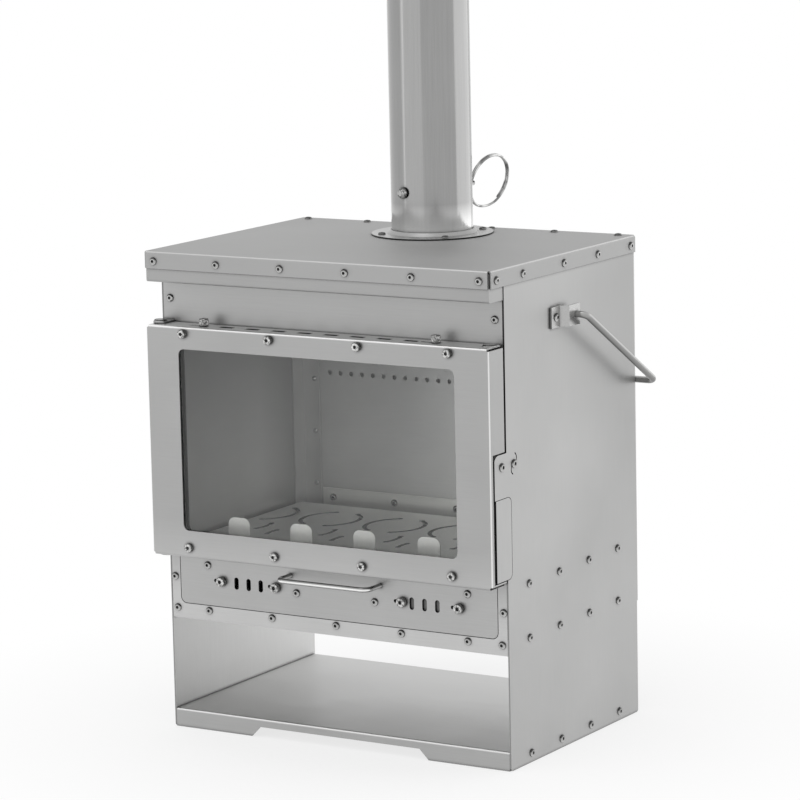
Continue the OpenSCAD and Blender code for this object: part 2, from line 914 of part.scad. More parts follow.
module fire_grate() {
    pitch = grate_w * 3 / 14;
    color(sooty_steel)
        placed()
            union() {
                level_sheet(grate_z - grate_t, grate_t)
                    difference() {
                        span(-grate_w / 2, grate_w / 2, grate_front, grate_back);
                        for (i = [0 : 3])
                            translate([(i - 11 / 6) * pitch, 0]) {
                                grate_bow(1, -8.5, 62, 56);
                                grate_bow(-1, 8.5, 62, 56);
                                grate_bow(1, -2, 119, 22);
                                grate_bow(-1, 17.5, 140, 14);
                            }
                    }
                // turned-down edges that stand on the firebox floor
                mirrored_x()
                    side_sheet(grate_w / 2 - grate_t, grate_t)
                        span(grate_front, grate_back, hearth_z, grate_z - grate_t);
                for (y = [grate_front, grate_back - grate_t])
                    front_sheet(y, grate_t)
                        span(-grate_w / 2, grate_w / 2, hearth_z, grate_z - grate_t);
            }
}

module log_guard() {
    body_top = hearth_z + 16;
    r = 7;
    tab_x = -2.5;  // shift of the row of tabs
    color(bright_steel)
        placed()
            front_sheet(firebox_front) {
                span(-flange_x + 4, flange_x - 4, hearth_z, body_top);
                for (i = [0 : tab_count - 1])
                    translate([(i - (tab_count - 1) / 2) * tab_pitch + tab_x, hearth_z]) {
                        span(-tab_w / 2, tab_w / 2, 16 - cut, tab_up - r);
                        span(-tab_w / 2 + r, tab_w / 2 - r, 16 - cut, tab_up);
                        for (x = [-1, 1])
                            translate([x * (tab_w / 2 - r), tab_up - r])
                                circle(r);
                    }
            }
}

module side_liner(side) {
    front = firebox_front + 5;
    rear = back_liner_y - 4;
    latch_room = 14;
    shelf_back = 30;
    side_sheet(side > 0 ? liner_x : -liner_x - sheet)
        span(front, rear, hearth_z, liner_top);
    // standoffs; the front one ends under the latch
    front_sheet(front)
        span(side * (liner_x + sheet), side * inner_x, hearth_z, latch_z - latch_room);
    front_sheet(rear - sheet)
        span(side * (liner_x + sheet), side * inner_x, hearth_z, liner_top);
    // shelf for the baffle
    level_sheet(liner_top - sheet)
        span(side * liner_x, side * (liner_x - 8), front + shelf_back, rear);
}

module left_liner() {
    color(sooty_steel)
        placed()
            side_liner(-1);
}

module right_liner() {
    color(sooty_steel)
        placed()
            side_liner(1);
}

module back_liner() {
    color(sooty_steel)
        placed()
            difference() {
                union() {
                    front_sheet(back_liner_y)
                        span(-liner_x - sheet, liner_x + sheet, hearth_z - sheet, liner_top);
                    level_sheet(liner_top - sheet)
                        span(-flange_x + 2, flange_x - 2, back_liner_y + sheet, back_y);
                }
                for (i = [0 : air_hole_count - 1])
                    drill_front((i - (air_hole_count - 1) / 2) * air_hole_pitch, hearth_z + air_hole_up,
                        back_liner_y, d = air_hole_d);
                for (x = band_screw_xs)
                    drill_front(x, band_z, back_liner_y);
                for (side = [-1, 1], z = rivet_zs)
                    drill_front(side * rivet_x, z, back_liner_y);
            }
}

// Angles in the rear corners of the firebox
module corner_posts() {
    color(sooty_steel)
        placed()
            difference() {
                mirrored_x() {
                    front_sheet(back_liner_y - post_t, post_t)
                        span(liner_x - post_w, liner_x, hearth_z, post_top);
                    side_sheet(liner_x - post_t, post_t)
                        span(back_liner_y - post_w, back_liner_y - post_t, hearth_z, post_top);
                }
                for (side = [-1, 1], z = rivet_zs)
                    drill_front(side * rivet_x, z, back_liner_y - post_t);
            }
}

module liner_rivets() {
    color(bright_steel)
        placed()
            for (side = [-1, 1], z = rivet_zs)
                on_front(side * rivet_x, back_liner_y - post_t, z) {
                    cylinder(h = 0.6, d = 5);
                    translate([0, 0, 0.6])
                        cylinder(h = 0.6, d1 = 5, d2 = 2.5);
                    translate([0, 0, -post_t - sheet])
                        cylinder(h = post_t + sheet, d = shank_d);
                }
}

module liner_screws() {
    color(bright_steel)
        placed()
            for (x = band_screw_xs)
                on_front(x, back_liner_y - sheet, band_z)
                    screw(screw_l);
}

module baffle() {
    lip_in = 10;
    lip_h = 12;
    color(sooty_steel)
        placed() {
            level_sheet(liner_top)
                span(-liner_x + 2, liner_x - 2, baffle_front, back_liner_y);
            front_sheet(baffle_front)
                span(-liner_x + lip_in, liner_x - lip_in, liner_top - lip_h, liner_top);
        }
}

// ---- fire door ----

// Folded edge of the door's pan on one of its four sides
module pan_edge(turn, reach, length) {
    rotate([0, turn, 0])
        translate([0, 0, reach])
            rotate([90, 0, 0])
                fold(length, door_depth);
}

module door_pan() {
    corner = bend_r + 0.4;
    color(front_steel)
        placed()
            difference() {
                union() {
                    front_sheet(door_y)
                        difference() {
                            translate([0, door_mid])
                                square([body_w - 2 * bend_r, door_h - 2 * bend_r], center = true);
                            translate([0, window_z])
                                rounded_rect(window_w, window_h, window_r);
                        }
                    translate([0, door_y, door_mid]) {
                        for (turn = [0, 180])
                            pan_edge(turn, door_h / 2, body_w - 2 * corner);
                        for (turn = [90, 270])
                            pan_edge(turn, half_w, door_h - 2 * corner);
                    }
                }
                // cut back beside the lug and the pull flap
                translate([fit_x - sheet, door_y + flap_notch, flap_z - 1])
                    cube([sheet * 3, door_depth, lug_top - flap_z + 2.5]);
                for (x = slot_xs)
                    level_slot(x, slot_l, slot_w);
                for (x = stud_xs)
                    level_slot(x - airwash_travel / 2, airwash_travel + guide_w, guide_w);
                for (x = bolt_xs, z = [bolt_top_z, bolt_bottom_z])
                    drill_front(x, z, door_y);
                for (side = [-1, 1])
                    for (z = [door_z, door_top - sheet])
                        drill_up(side * pin_x, pin_y, z, d = pin_hole_d, depth = sheet);
            }
}

// Slot through the door's top edge
module level_slot(x, length, width) {
    level_sheet(door_top - sheet - cut, sheet + 2 * cut)
        translate([x, airwash_y])
            slot(length, width);
}

module glass_tape() {
    lap = glass_lap - 1;
    color(tape_white)
        placed()
            front_sheet(door_back, tape_t)
                translate([0, window_z])
                    difference() {
                        rounded_rect(window_w + 2 * lap, window_h + 2 * lap, window_r);
                        rounded_rect(window_w + 1, window_h + 1, window_r);
                    }
}

module door_glass() {
    color(glass_grey)
        placed()
            front_sheet(glass_y, glass_t)
                translate([0, window_z])
                    square([window_w + 2 * glass_lap, window_h + 2 * glass_lap], center = true);
}

module glass_clamp() {
    color(side_steel)
        placed()
            difference() {
                front_sheet(clamp_y)
                    difference() {
                        span(-window_w / 2 - clamp_side, window_w / 2 + clamp_side, clamp_bottom, clamp_top);
                        translate([0, window_z])
                            rounded_rect(window_w + 2, window_h + 2, window_r);
                    }
                for (x = bolt_xs, z = [bolt_top_z, bolt_bottom_z])
                    drill_front(x, z, clamp_y);
            }
}

module door_bolts_top() {
    color(bolt_steel)
        placed()
            for (x = bolt_xs)
                on_front(x, door_y, bolt_top_z)
                    cap_bolt(clamp_y + sheet + nut_h - door_y, 8.5, bolt_head_h);
}

module door_bolts_bottom() {
    color(bolt_steel)
        placed()
            for (x = bolt_xs)
                on_front(x, door_y, bolt_bottom_z)
                    cap_bolt(clamp_y + sheet + nut_h - door_y, 8.5, bolt_head_h - 1);
}

module door_nuts() {
    color(bolt_steel)
        placed()
            for (x = bolt_xs, z = [bolt_top_z, bolt_bottom_z])
                on_back(x, clamp_y + sheet, z)
                    rotate(30)
                        hex_nut();
}

module airwash_slider() {
    color(side_steel)
        placed()
            level_sheet(slider_z, slider_t)
                difference() {
                    span(stud_xs[0] - slider_end, stud_xs[1] + slider_end, airwash_y - 6, airwash_y + 6);
                    for (x = slot_xs)
                        translate([x, airwash_y])
                            slot(slot_l, slot_w);
                    for (x = stud_xs)
                        translate([x, airwash_y])
                            circle(d = hole_d);
                }
}

// Studs that stand on the door's top edge and carry the slider under it
module airwash_knobs() {
    color(bolt_steel)
        placed()
            for (x = stud_xs)
                translate([x, airwash_y, door_top + slide_gap])
                    cap_bolt(door_top + slide_gap - slider_z, knob_d, knob_h);
}

module hinge_ear(z) {
    ear_r = 7;
    level_sheet(z)
        difference() {
            union() {
                span(pin_x - ear_r, pin_x + ear_r, pin_y, front_y);
                translate([pin_x, pin_y])
                    circle(ear_r);
            }
            translate([pin_x, pin_y])
                circle(d = pin_d + 2 * tap_gap);
        }
}

// Ears on the front frame over and under the door
module hinge_ears() {
    color(front_steel)
        placed() {
            hinge_ear(door_top + slide_gap);
            hinge_ear(door_z - slide_gap - sheet);
        }
}

// Hinge pins, driven through the ears into the door
module hinge_pins() {
    reach = sheet * 2 + slide_gap + 6;
    color(bolt_steel)
        placed() {
            translate([pin_x, pin_y, door_top + slide_gap + sheet - reach])
                cylinder(h = reach, d = pin_d);
            translate([pin_x, pin_y, door_top + slide_gap + sheet])
                flat_head(hinge_head_d, hinge_head_h);
            translate([pin_x, pin_y, door_z - slide_gap - sheet])
                cylinder(h = reach, d = pin_d);
            translate([pin_x, pin_y, door_z - slide_gap - sheet])
                mirror([0, 0, 1])
                    flat_head(pin_d + 3, 1);
        }
}

module flat_head(d, h) {
    cylinder(h = h / 2, d = d);
    translate([0, 0, h / 2])
        cylinder(h = h / 2, d1 = d, d2 = d - h);
}

// Plugs in the door's spare hinge holes on the other side
module hinge_hole_plugs() {
    color(bolt_steel)
        placed() {
            translate([-pin_x, pin_y, door_top]) {
                flat_head(hinge_head_d, hinge_head_h);
                translate([0, 0, -sheet - 3])
                    cylinder(h = sheet + 3, d = pin_d);
            }
            translate([-pin_x, pin_y, door_z])
                mirror([0, 0, 1]) {
                    flat_head(pin_d + 3, 1);
                    translate([0, 0, -sheet - 3])
                        cylinder(h = sheet + 3, d = pin_d);
                }
        }
}

// ---- pull flap and latch ----

module pull_flap() {
    rear = flap_front + flap_d;
    color(side_steel)
        placed()
            difference() {
                union() {
                    side_sheet(inner_x) {
                        span(flap_front, rear - flap_r, flap_z, flap_z + flap_h);
                        span(flap_front, rear, flap_z + flap_r, flap_z + flap_h - flap_r);
                        for (z = [flap_z + flap_r, flap_z + flap_h - flap_r])
                            translate([rear - flap_r, z])
                                circle(flap_r);
                    }
                    // knuckle rolled round the pin
                    for (z = [flap_z + 2, flap_z + flap_h / 2 + 8])
                        translate([pull_x, pull_y, z]) {
                            cylinder(h = flap_h / 2 - 10, d = knuckle_d);
                            translate([0, -knuckle_d / 2, 0])
                                cube([inner_x - pull_x + sheet / 2, knuckle_d, flap_h / 2 - 10]);
                        }
                }
                translate([pull_x, pull_y, flap_z - cut])
                    cylinder(h = flap_h + 2 * cut, d = pull_pin_d + 2 * run_gap);
            }
}

module pull_pin() {
    color(bolt_steel)
        placed()
            translate([pull_x, pull_y, flap_z - 3])
                cylinder(h = flap_h + 6, d = pull_pin_d);
}

// Tabs behind the door's front sheet that hold the pull flap's pin
module pull_tabs() {
    color(side_steel)
        placed()
            for (z = [flap_z - 0.8 - sheet, flap_z + flap_h + 0.8])
                level_sheet(z)
                    difference() {
                        span(pull_x - 4, half_w - bend_r, door_back, pull_y + 3);
                        translate([pull_x, pull_y])
                            circle(d = pull_pin_d + 2 * tap_gap);
                    }
}

// Spring leaf behind the lug
module latch_spring() {
    t = 1;
    color(bright_steel)
        placed()
            difference() {
                side_sheet(inner_x - t, t)
                    translate([(lug_front + front_y) / 2 + 0.3, (lug_z + 5 + lug_top - 3) / 2])
                        rounded_rect(17, lug_h - 8, 3);
                drill_side(1, latch_front_y, latch_z, half_w);
            }
}

// Plate behind the relief cut
module latch_backing() {
    rear = latch_rear_y + 10;
    front = behind_front + sheet + slide_gap + 0.3;
    color(side_steel)
        placed()
            difference() {
                side_sheet(inner_x - sheet)
                    span(front, rear, latch_z - 12, latch_z + 11);
                drill_side(1, latch_rear_y, latch_z, half_w);
            }
}

module latch_screws() {
    color(bolt_steel)
        placed()
            for (y = [latch_front_y, latch_rear_y])
                on_side(1, half_w, y, latch_z)
                    screw(screw_l, d = wide_head_d);
}

// ---- ash drawer ----

module drawer_front() {
    r = 6;
    half = drawer_face_w / 2;
    color(front_steel)
        placed()
            difference() {
                front_sheet(front_y)
                    difference() {
                        union() {
                            span(-half, half, drawer_z + r, drawer_top);
                            span(-half + r, half - r, drawer_z, drawer_z + r);
                            for (x = [-1, 1])
                                translate([x * (half - r), drawer_z + r])
                                    circle(r);
                        }
                        for (side = [-1, 1], x = vent_xs)
                            translate([side * vent_x + x, vent_z])
                                rotate(90)
                                    slot(vent_h, vent_w);
                        for (side = [-1, 1], x = [guide_outer_x, guide_inner_x])
                            translate([side * x, stud_z])
                                slot(shutter_travel + guide_w, guide_w);
                    }
                drawer_screw_holes(front_y);
                for (side = [-1, 1])
                    drill_front(side * handle_span / 2, handle_z, front_y, d = handle_wire + 2 * tap_gap);
            }
}

module drawer_screw_holes(y) {
    for (side = [-1, 1]) {
        drill_front(side * ear_x, ear_z, y);
        drill_front(side * tray_tab_x, tray_tab_z, y);
    }
}

module drawer_tray() {
    half = tray_w / 2;
    rear = tray_front + tray_d;
    top = tray_z + tray_h;
    color(side_steel)
        placed()
            difference() {
                union() {
                    level_sheet(tray_z, tray_sheet)
                        span(-half, half, tray_front, rear);
                    mirrored_x()
                        side_sheet(half - tray_sheet, tray_sheet)
                            span(tray_front, rear, tray_z, top);
                    front_sheet(rear - tray_sheet, tray_sheet)
                        span(-half, half, tray_z, top);
                    front_sheet(tray_front, tray_sheet) {
                        span(-half, half, tray_z, tray_lip);
                        for (side = [-1, 1]) {
                            translate([side * tray_tab_x, 0])
                                span(-8, 8, tray_lip - cut, tray_tab_z + 6);
                            span(side * half, side * (ear_x - 6), shutter_z + shutter_h + 1, top);
                        }
                    }
                }
                drawer_screw_holes(tray_front);
            }
}

// U-shaped wire handle, its legs through the drawer's face
module drawer_handle() {
    root_y = behind_front + nut_h + 1;
    grip_y = front_y - handle_reach + handle_wire / 2;
    leg = root_y - grip_y - handle_bend;
    color(bright_steel)
        placed() {
            for (side = [-1, 1]) {
                translate([side * handle_span / 2, root_y, handle_z])
                    rotate([90, 0, 0])
                        cylinder(h = leg, d = handle_wire);
                translate([0, grip_y, handle_z])
                    scale_x(side)
                        translate([handle_span / 2 - handle_bend, 0, 0])
                            elbow(handle_bend, handle_wire);
            }
            translate([0, grip_y, handle_z])
                bar_x(handle_span - 2 * handle_bend, handle_wire);
        }
}

module scale_x(side) {
    if (side > 0)
        children();
    else
        mirror([1, 0, 0])
            children();
}

module handle_nuts() {
    flats = handle_wire * 1.75;
    color(bolt_steel)
        placed()
            for (side = [-1, 1])
                on_back(side * handle_span / 2, behind_front, handle_z)
                    difference() {
                        cylinder(h = nut_h, d = flats / cos(30), $fn = 6);
                        translate([0, 0, -cut])
                            cylinder(h = nut_h + 2 * cut, d = handle_wire + 2 * tap_gap);
                    }
}

module drawer_screws() {
    color(bolt_steel)
        placed()
            for (side = [-1, 1]) {
                on_front(side * ear_x, front_y, ear_z)
                    screw(screw_l);
                on_front(side * tray_tab_x, front_y, tray_tab_z)
                    screw(screw_l);
            }
}

// Shutter behind one side's vents; shift moves its cuts
module air_shutter(side, shift) {
    stud_x = [side * guide_outer_x, side * guide_inner_x] + [1, 1] * shutter_travel / 2;
    front_sheet(shutter_y, shutter_t)
        difference() {
            span(min(stud_x) - 6.5, max(stud_x) + 6.5, shutter_z, shutter_z + shutter_h);
            for (x = vent_xs)
                translate([side * vent_x + x + shift, vent_z])
                    rotate(90)
                        slot(vent_h, vent_w);
            for (x = stud_x)
                translate([x, stud_z])
                    circle(d = hole_d);
        }
}

module left_air_shutter() {
    color(side_steel)
        placed()
            air_shutter(-1, 0);
}

module right_air_shutter() {
    color(side_steel)
        placed()
            air_shutter(1, shutter_travel);
}

module shutter_knobs(side) {
    for (x = [side * guide_outer_x, side * guide_inner_x])
        on_front(x + shutter_travel / 2, front_y - slide_gap, stud_z)
            cap_bolt(slide_gap + sheet + slide_gap + shutter_t, vent_knob_d, vent_knob_h);
}

module left_shutter_knobs() {
    color(bolt_steel)
        placed()
            shutter_knobs(-1);
}

module right_shutter_knobs() {
    color(bolt_steel)
        placed()
            shutter_knobs(1);
}

// ---- flue ----

module flue_collar() {
    foot_r = min(pipe_r + 5, (collar_pcd - head_d) / 2 - 0.3);
    foot_h = collar_t + 3.5;
    foot_bore = pipe_r + 0.3;
    color(bright_steel)
        placed()
            translate([0, pipe_y, body_h])
                difference() {
                    union() {
                        cylinder(h = collar_t, d = collar_d);
                        cylinder(h = spigot_l, r = spigot_r);
                        // raised foot round the pipe
                        rotate_extrude()
                            polygon([[foot_bore, collar_t / 2], [foot_r, collar_t / 2], [foot_r, collar_t],
                                [pipe_r + 1.5, foot_h], [foot_bore, foot_h]]);
                    }
                    translate([0, 0, -cut])
                        cylinder(h = spigot_l + 2 * cut, r = spigot_r - spigot_wall);
                    for (p = collar_holes)
                        translate([p[0], p[1], -cut])
                            cylinder(h = collar_t + 2 * cut, d = hole_d);
                }
}

module collar_screws() {
    color(bolt_steel)
        placed()
            for (p = collar_holes)
                translate([p[0], pipe_y + p[1], body_h + collar_t])
                    screw(screw_l + 1);
}

module flue_pipe() {
    socket_ri = pipe_r + socket_gap;
    flare = 6;
    color(side_steel)
        placed()
            translate([0, pipe_y, 0])
                difference() {
                    rotate_extrude()
                        polygon([[pipe_ri, pipe_z], [pipe_r, pipe_z],
                            [pipe_r, pipe_top - socket_l - flare],
                            [socket_ri + pipe_wall, pipe_top - socket_l], [socket_ri + pipe_wall, pipe_top],
                            [socket_ri, pipe_top], [socket_ri, pipe_top - socket_l],
                            [pipe_ri, pipe_top - socket_l - flare]]);
                    translate([0, 0, axle_z])
                        along_axle()
                            cylinder(h = 3 * pipe_r, d = axle_d + 2 * run_gap, center = true);
                }
}

// Turns the Z axis into the damper's axle, pointing backwards
module along_axle() {
    rotate([0, 0, -damper_turn])
        rotate([-90, 0, 0])
            children();
}

// Places the damper's pieces: Z along the axle, the plate in the YZ plane
module on_axle() {
    placed()
        translate([0, pipe_y, axle_z])
            along_axle()
                rotate([0, 0, damper_lean])
                    children();
}

module damper_plate() {
    color(bright_steel)
        on_axle()
            translate([axle_d / 2, 0, 0])
                rotate([0, 90, 0])
                    cylinder(h = damper_t, r = sqrt(pow(damper_r, 2) - pow(axle_d / 2 + damper_t, 2)));
}

module ring_solid(wire) {
    translate([0, 0, axle_end + ring_r])
        rotate([0, 90, 0])
            rotate_extrude()
                translate([ring_r, 0])
                    circle(d = wire);
}

module damper_axle() {
    color(bolt_steel)
        on_axle()
            difference() {
                translate([0, 0, -axle_front])
                    cylinder(h = axle_front + axle_end + ring_wire, d = axle_d);
                ring_solid(ring_wire + 2 * run_gap);
            }
}

module damper_nut() {
    color(bolt_steel)
        on_axle()
            translate([0, 0, -pipe_r - 0.5 - axle_nut_h])
                difference() {
                    cylinder(h = axle_nut_h, d = axle_nut_d, $fn = 6);
                    translate([0, 0, -cut])
                        cylinder(h = axle_nut_h + 2 * cut, d = axle_d + 2 * tap_gap);
                }
}

module damper_ring() {
    color(bright_steel)
        on_axle()
            ring_solid(ring_wire);
}

// ---- bail ----

// Half of the bail, drawn flat: pivot on the X axis, arm along +Y
module bail_half() {
    inner_end = half_w + 3;
    translate([inner_end, 0, 0])
        rotate([0, 90, 0])
            cylinder(h = bail_x - pivot_bend - inner_end, d = bail_wire);
    translate([bail_x - pivot_bend, 0, 0])
        elbow(pivot_bend, bail_wire);
    translate([bail_x, pivot_bend, 0])
        rotate([-90, 0, 0])
            cylinder(h = bail_arm - pivot_bend - bail_bend, d = bail_wire);
    translate([bail_x - bail_bend, bail_arm, 0])
        mirror([0, 1, 0])
            elbow(bail_bend, bail_wire);
}

module bail_handle() {
    color(bright_steel)
        placed()
            translate([0, bail_y, bail_z])
                rotate([-bail_angle, 0, 0]) {
                    mirrored_x()
                        bail_half();
                    translate([0, bail_arm, 0])
                        bar_x(2 * (bail_x - bail_bend), bail_wire);
                }
}

module bail_brackets() {
    base_front = bracket_screw_y - 8.5;
    leg_front = bracket_screw_y + 7;
    tab_rear = bail_y + 6;
    t = bracket_t;
    lean = 0.65;  // how far the leg runs back for each step outwards
    leg_rear = leg_front + t * sqrt(1 + lean * lean);
    out = bracket_out;
    color(bright_steel)
        placed()
            difference() {
                mirrored_x()
                    translate([half_w, 0, bail_z - bracket_h / 2])
                        linear_extrude(bracket_h)
                            polygon([[0, base_front], [t, base_front], [t, leg_front],
                                [out, leg_front + lean * (out - t)], [out, tab_rear], [out - t, tab_rear],
                                [out - t, leg_rear + lean * (out - 2 * t)], [0, leg_rear - lean * t]]);
                for (side = [-1, 1]) {
                    drill_side(side, bracket_screw_y, bail_z, half_w + bracket_t, depth = bracket_t);
                    drill_side(side, bail_y, bail_z, half_w + bracket_out, d = bail_wire + 2 * run_gap,
                        depth = bracket_t);
                }
            }
}

module bracket_screws() {
    color(bolt_steel)
        placed()
            for (side = [-1, 1])
                on_side(side, half_w + bracket_t, bracket_screw_y, bail_z)
                    screw(bracket_t + screw_l - 0.5, d = wide_head_d);
}

// ---- screws ----

module lid_screws() {
    color(bolt_steel)
        placed() {
            for (x = lid_front_xs)
                on_front(x, lid_y, lid_screw_z)
                    screw(screw_l);
            for (side = [-1, 1], y = lid_side_ys)
                on_side(side, lid_x, y, lid_screw_z)
                    screw(screw_l);
            for (x = lid_rear_xs)
                translate([x, lid_rear_y, body_h])
                    screw(screw_l);
        }
}

module side_screws() {
    color(bolt_steel)
        placed()
            for (side = [-1, 1], y = side_screw_ys, z = side_screw_zs)
                on_side(side, half_w, y, z)
                    screw(screw_l);
}

module frame_screws() {
    color(bolt_steel)
        placed() {
            for (x = frame_screw_xs)
                on_front(x, front_y, bay_screw_z)
                    screw(screw_l);
            for (side = [-1, 1], p = frame_corner_xz)
                on_front(side * p[0], front_y, p[1])
                    screw(screw_l);
        }
}

module back_screws() {
    color(bolt_steel)
        placed()
            for (side = [-1, 1], z = back_screw_zs)
                on_back(side * back_screw_x, lid_back, z)
                    screw(screw_l);
}

left_side_panel();
right_side_panel();
base_shelf();
drawer_bay_floor();
drawer_runners();
front_frame();
back_panel();
lid();
hood_tray();
firebox_floor();
fire_grate();
log_guard();
left_liner();
right_liner();
back_liner();
corner_posts();
liner_rivets();
liner_screws();
baffle();
door_pan();
glass_tape();
door_glass();
glass_clamp();
door_bolts_top();
door_bolts_bottom();
door_nuts();
airwash_slider();
airwash_knobs();
hinge_ears();
hinge_pins();
hinge_hole_plugs();
pull_flap();
pull_pin();
pull_tabs();
latch_spring();
latch_backing();
latch_screws();
drawer_front();
drawer_tray();
drawer_handle();
handle_nuts();
drawer_screws();
left_air_shutter();
right_air_shutter();
left_shutter_knobs();
right_shutter_knobs();
flue_collar();
collar_screws();
flue_pipe();
damper_plate();
damper_axle();
damper_nut();
damper_ring();
bail_handle();
bail_brackets();
bracket_screws();
lid_screws();
side_screws();
frame_screws();
back_screws();
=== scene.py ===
"""Looks of a tent wood stove: sheet-metal finishes, detailed fasteners, wire parts, glass and a studio.

Laid out as an add-on and run as a script. Lengths are in metres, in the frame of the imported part.
"""
import math

import bmesh
import bpy
import numpy as np
from bpy.props import FloatProperty, FloatVectorProperty, IntProperty, PointerProperty
from mathutils import Matrix, Vector


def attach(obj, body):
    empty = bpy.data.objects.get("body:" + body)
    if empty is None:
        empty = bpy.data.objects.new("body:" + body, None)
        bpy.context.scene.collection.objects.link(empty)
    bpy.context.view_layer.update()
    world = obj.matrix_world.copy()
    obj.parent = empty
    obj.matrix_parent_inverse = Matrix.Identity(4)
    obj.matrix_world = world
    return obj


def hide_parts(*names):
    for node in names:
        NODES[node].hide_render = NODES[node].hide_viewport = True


bl_info = {
    "name": "Tent stove looks",
    "version": (1, 0, 0),
    "blender": (4, 5, 0),
    "location": "View3D > Sidebar > Tent stove",
    "description": "Finishes, fasteners, wire parts and studio of a tent wood stove",
    "category": "Object",
}

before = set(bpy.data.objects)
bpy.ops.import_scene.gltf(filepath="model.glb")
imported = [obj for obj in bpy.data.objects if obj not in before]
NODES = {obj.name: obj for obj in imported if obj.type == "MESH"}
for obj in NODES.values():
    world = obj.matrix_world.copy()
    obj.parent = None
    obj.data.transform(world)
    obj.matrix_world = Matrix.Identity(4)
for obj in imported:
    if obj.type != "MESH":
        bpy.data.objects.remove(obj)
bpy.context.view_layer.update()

MM = 0.001
FULL_TURN = 2 * math.pi

# Radius of every screw's shank in the part
SHANK_R = 1.5 * MM
# Vertices of a node that lie nearer than this are one
SAME_PLACE = 2e-6
# How near a vertex is to a screw's end to belong to it
END_REACH = 0.0002
# Degrees that each screw is turned further than the one before, and after which a hex socket repeats
SCREW_TURN, SOCKET_REPEAT = 47, 60

# The grain's cycles per metre along X, Y and Z
LEVEL_GRAIN, UPRIGHT_GRAIN, LID_GRAIN = (22, 500, 1400), (600, 1400, 22), (22, 1400, 1400)
PIPE_GRAIN, WIRE_GRAIN, RING_GRAIN = (900, 900, 14), (60, 900, 900), (200, 200, 200)
EVEN_GRAIN, BOLT_GRAIN, KNURL_GRAIN = (300, 300, 300), (1500, 1500, 1500), (900, 900, 900)
GRAIN_ALONG_X, GRAIN_ALONG_Y, GRAIN_ALONG_Z = (30, 900, 900), (900, 30, 900), (900, 900, 30)
# Cycles per metre of the other patterns
CLOUDS, FINE_GRAIN, SLOW_WAVES, WEAVE = 9.0, 900.0, 5.5, 260.0
# Their heights in the bump
WAVE_HEIGHT, STREAK_HEIGHT, FINE_HEIGHT, WEAVE_HEIGHT = 0.010, 0.00006, 0.00003, 0.0003
# Where most values of a noise lie, and where a face turns from edge-on to facing an axis
MID_NOISE, EDGE_ON = (0.3, 0.7), (0.4, 0.6)
# How far the grain moves the tint and the roughness
GRAIN_TINT, GRAIN_DULL = 0.12, 0.3
# Pale colour of the painted highlight on the sheets' bends
BEND_HIGHLIGHT = (0.93, 0.93, 0.925)
SEAM_SAMPLES, EDGE_SAMPLES = 6, 4
# Heights between which the firebox walls grow darker
FIRE_LOW, FIRE_HIGH = 0.19, 0.40

# Distances from the stove between which the floor turns plain white, and how white it is beside the stove
FLOOR_NEAR, FLOOR_FAR, FLOOR_WHITE = 0.20, 0.55, 0.72
FLOOR_DROP = 0.0005
LAMP_AIM = (0, 0, 0.4)
SENSOR_MM = 36
VIEW_END = 60


# ---- sizes and colours that a user would change ----

def colour(name, description, default):
    return FloatVectorProperty(name=name, description=description, default=default,
                               size=3, min=0, max=1, subtype="COLOR")


def length(name, description, default, low=0.0, high=10.0):
    return FloatProperty(name=name, description=description, default=default, min=low, max=high,
                         precision=5, unit="LENGTH", subtype="DISTANCE")


def share(name, description, default):
    return FloatProperty(name=name, description=description, default=default, min=0, max=1, subtype="FACTOR")


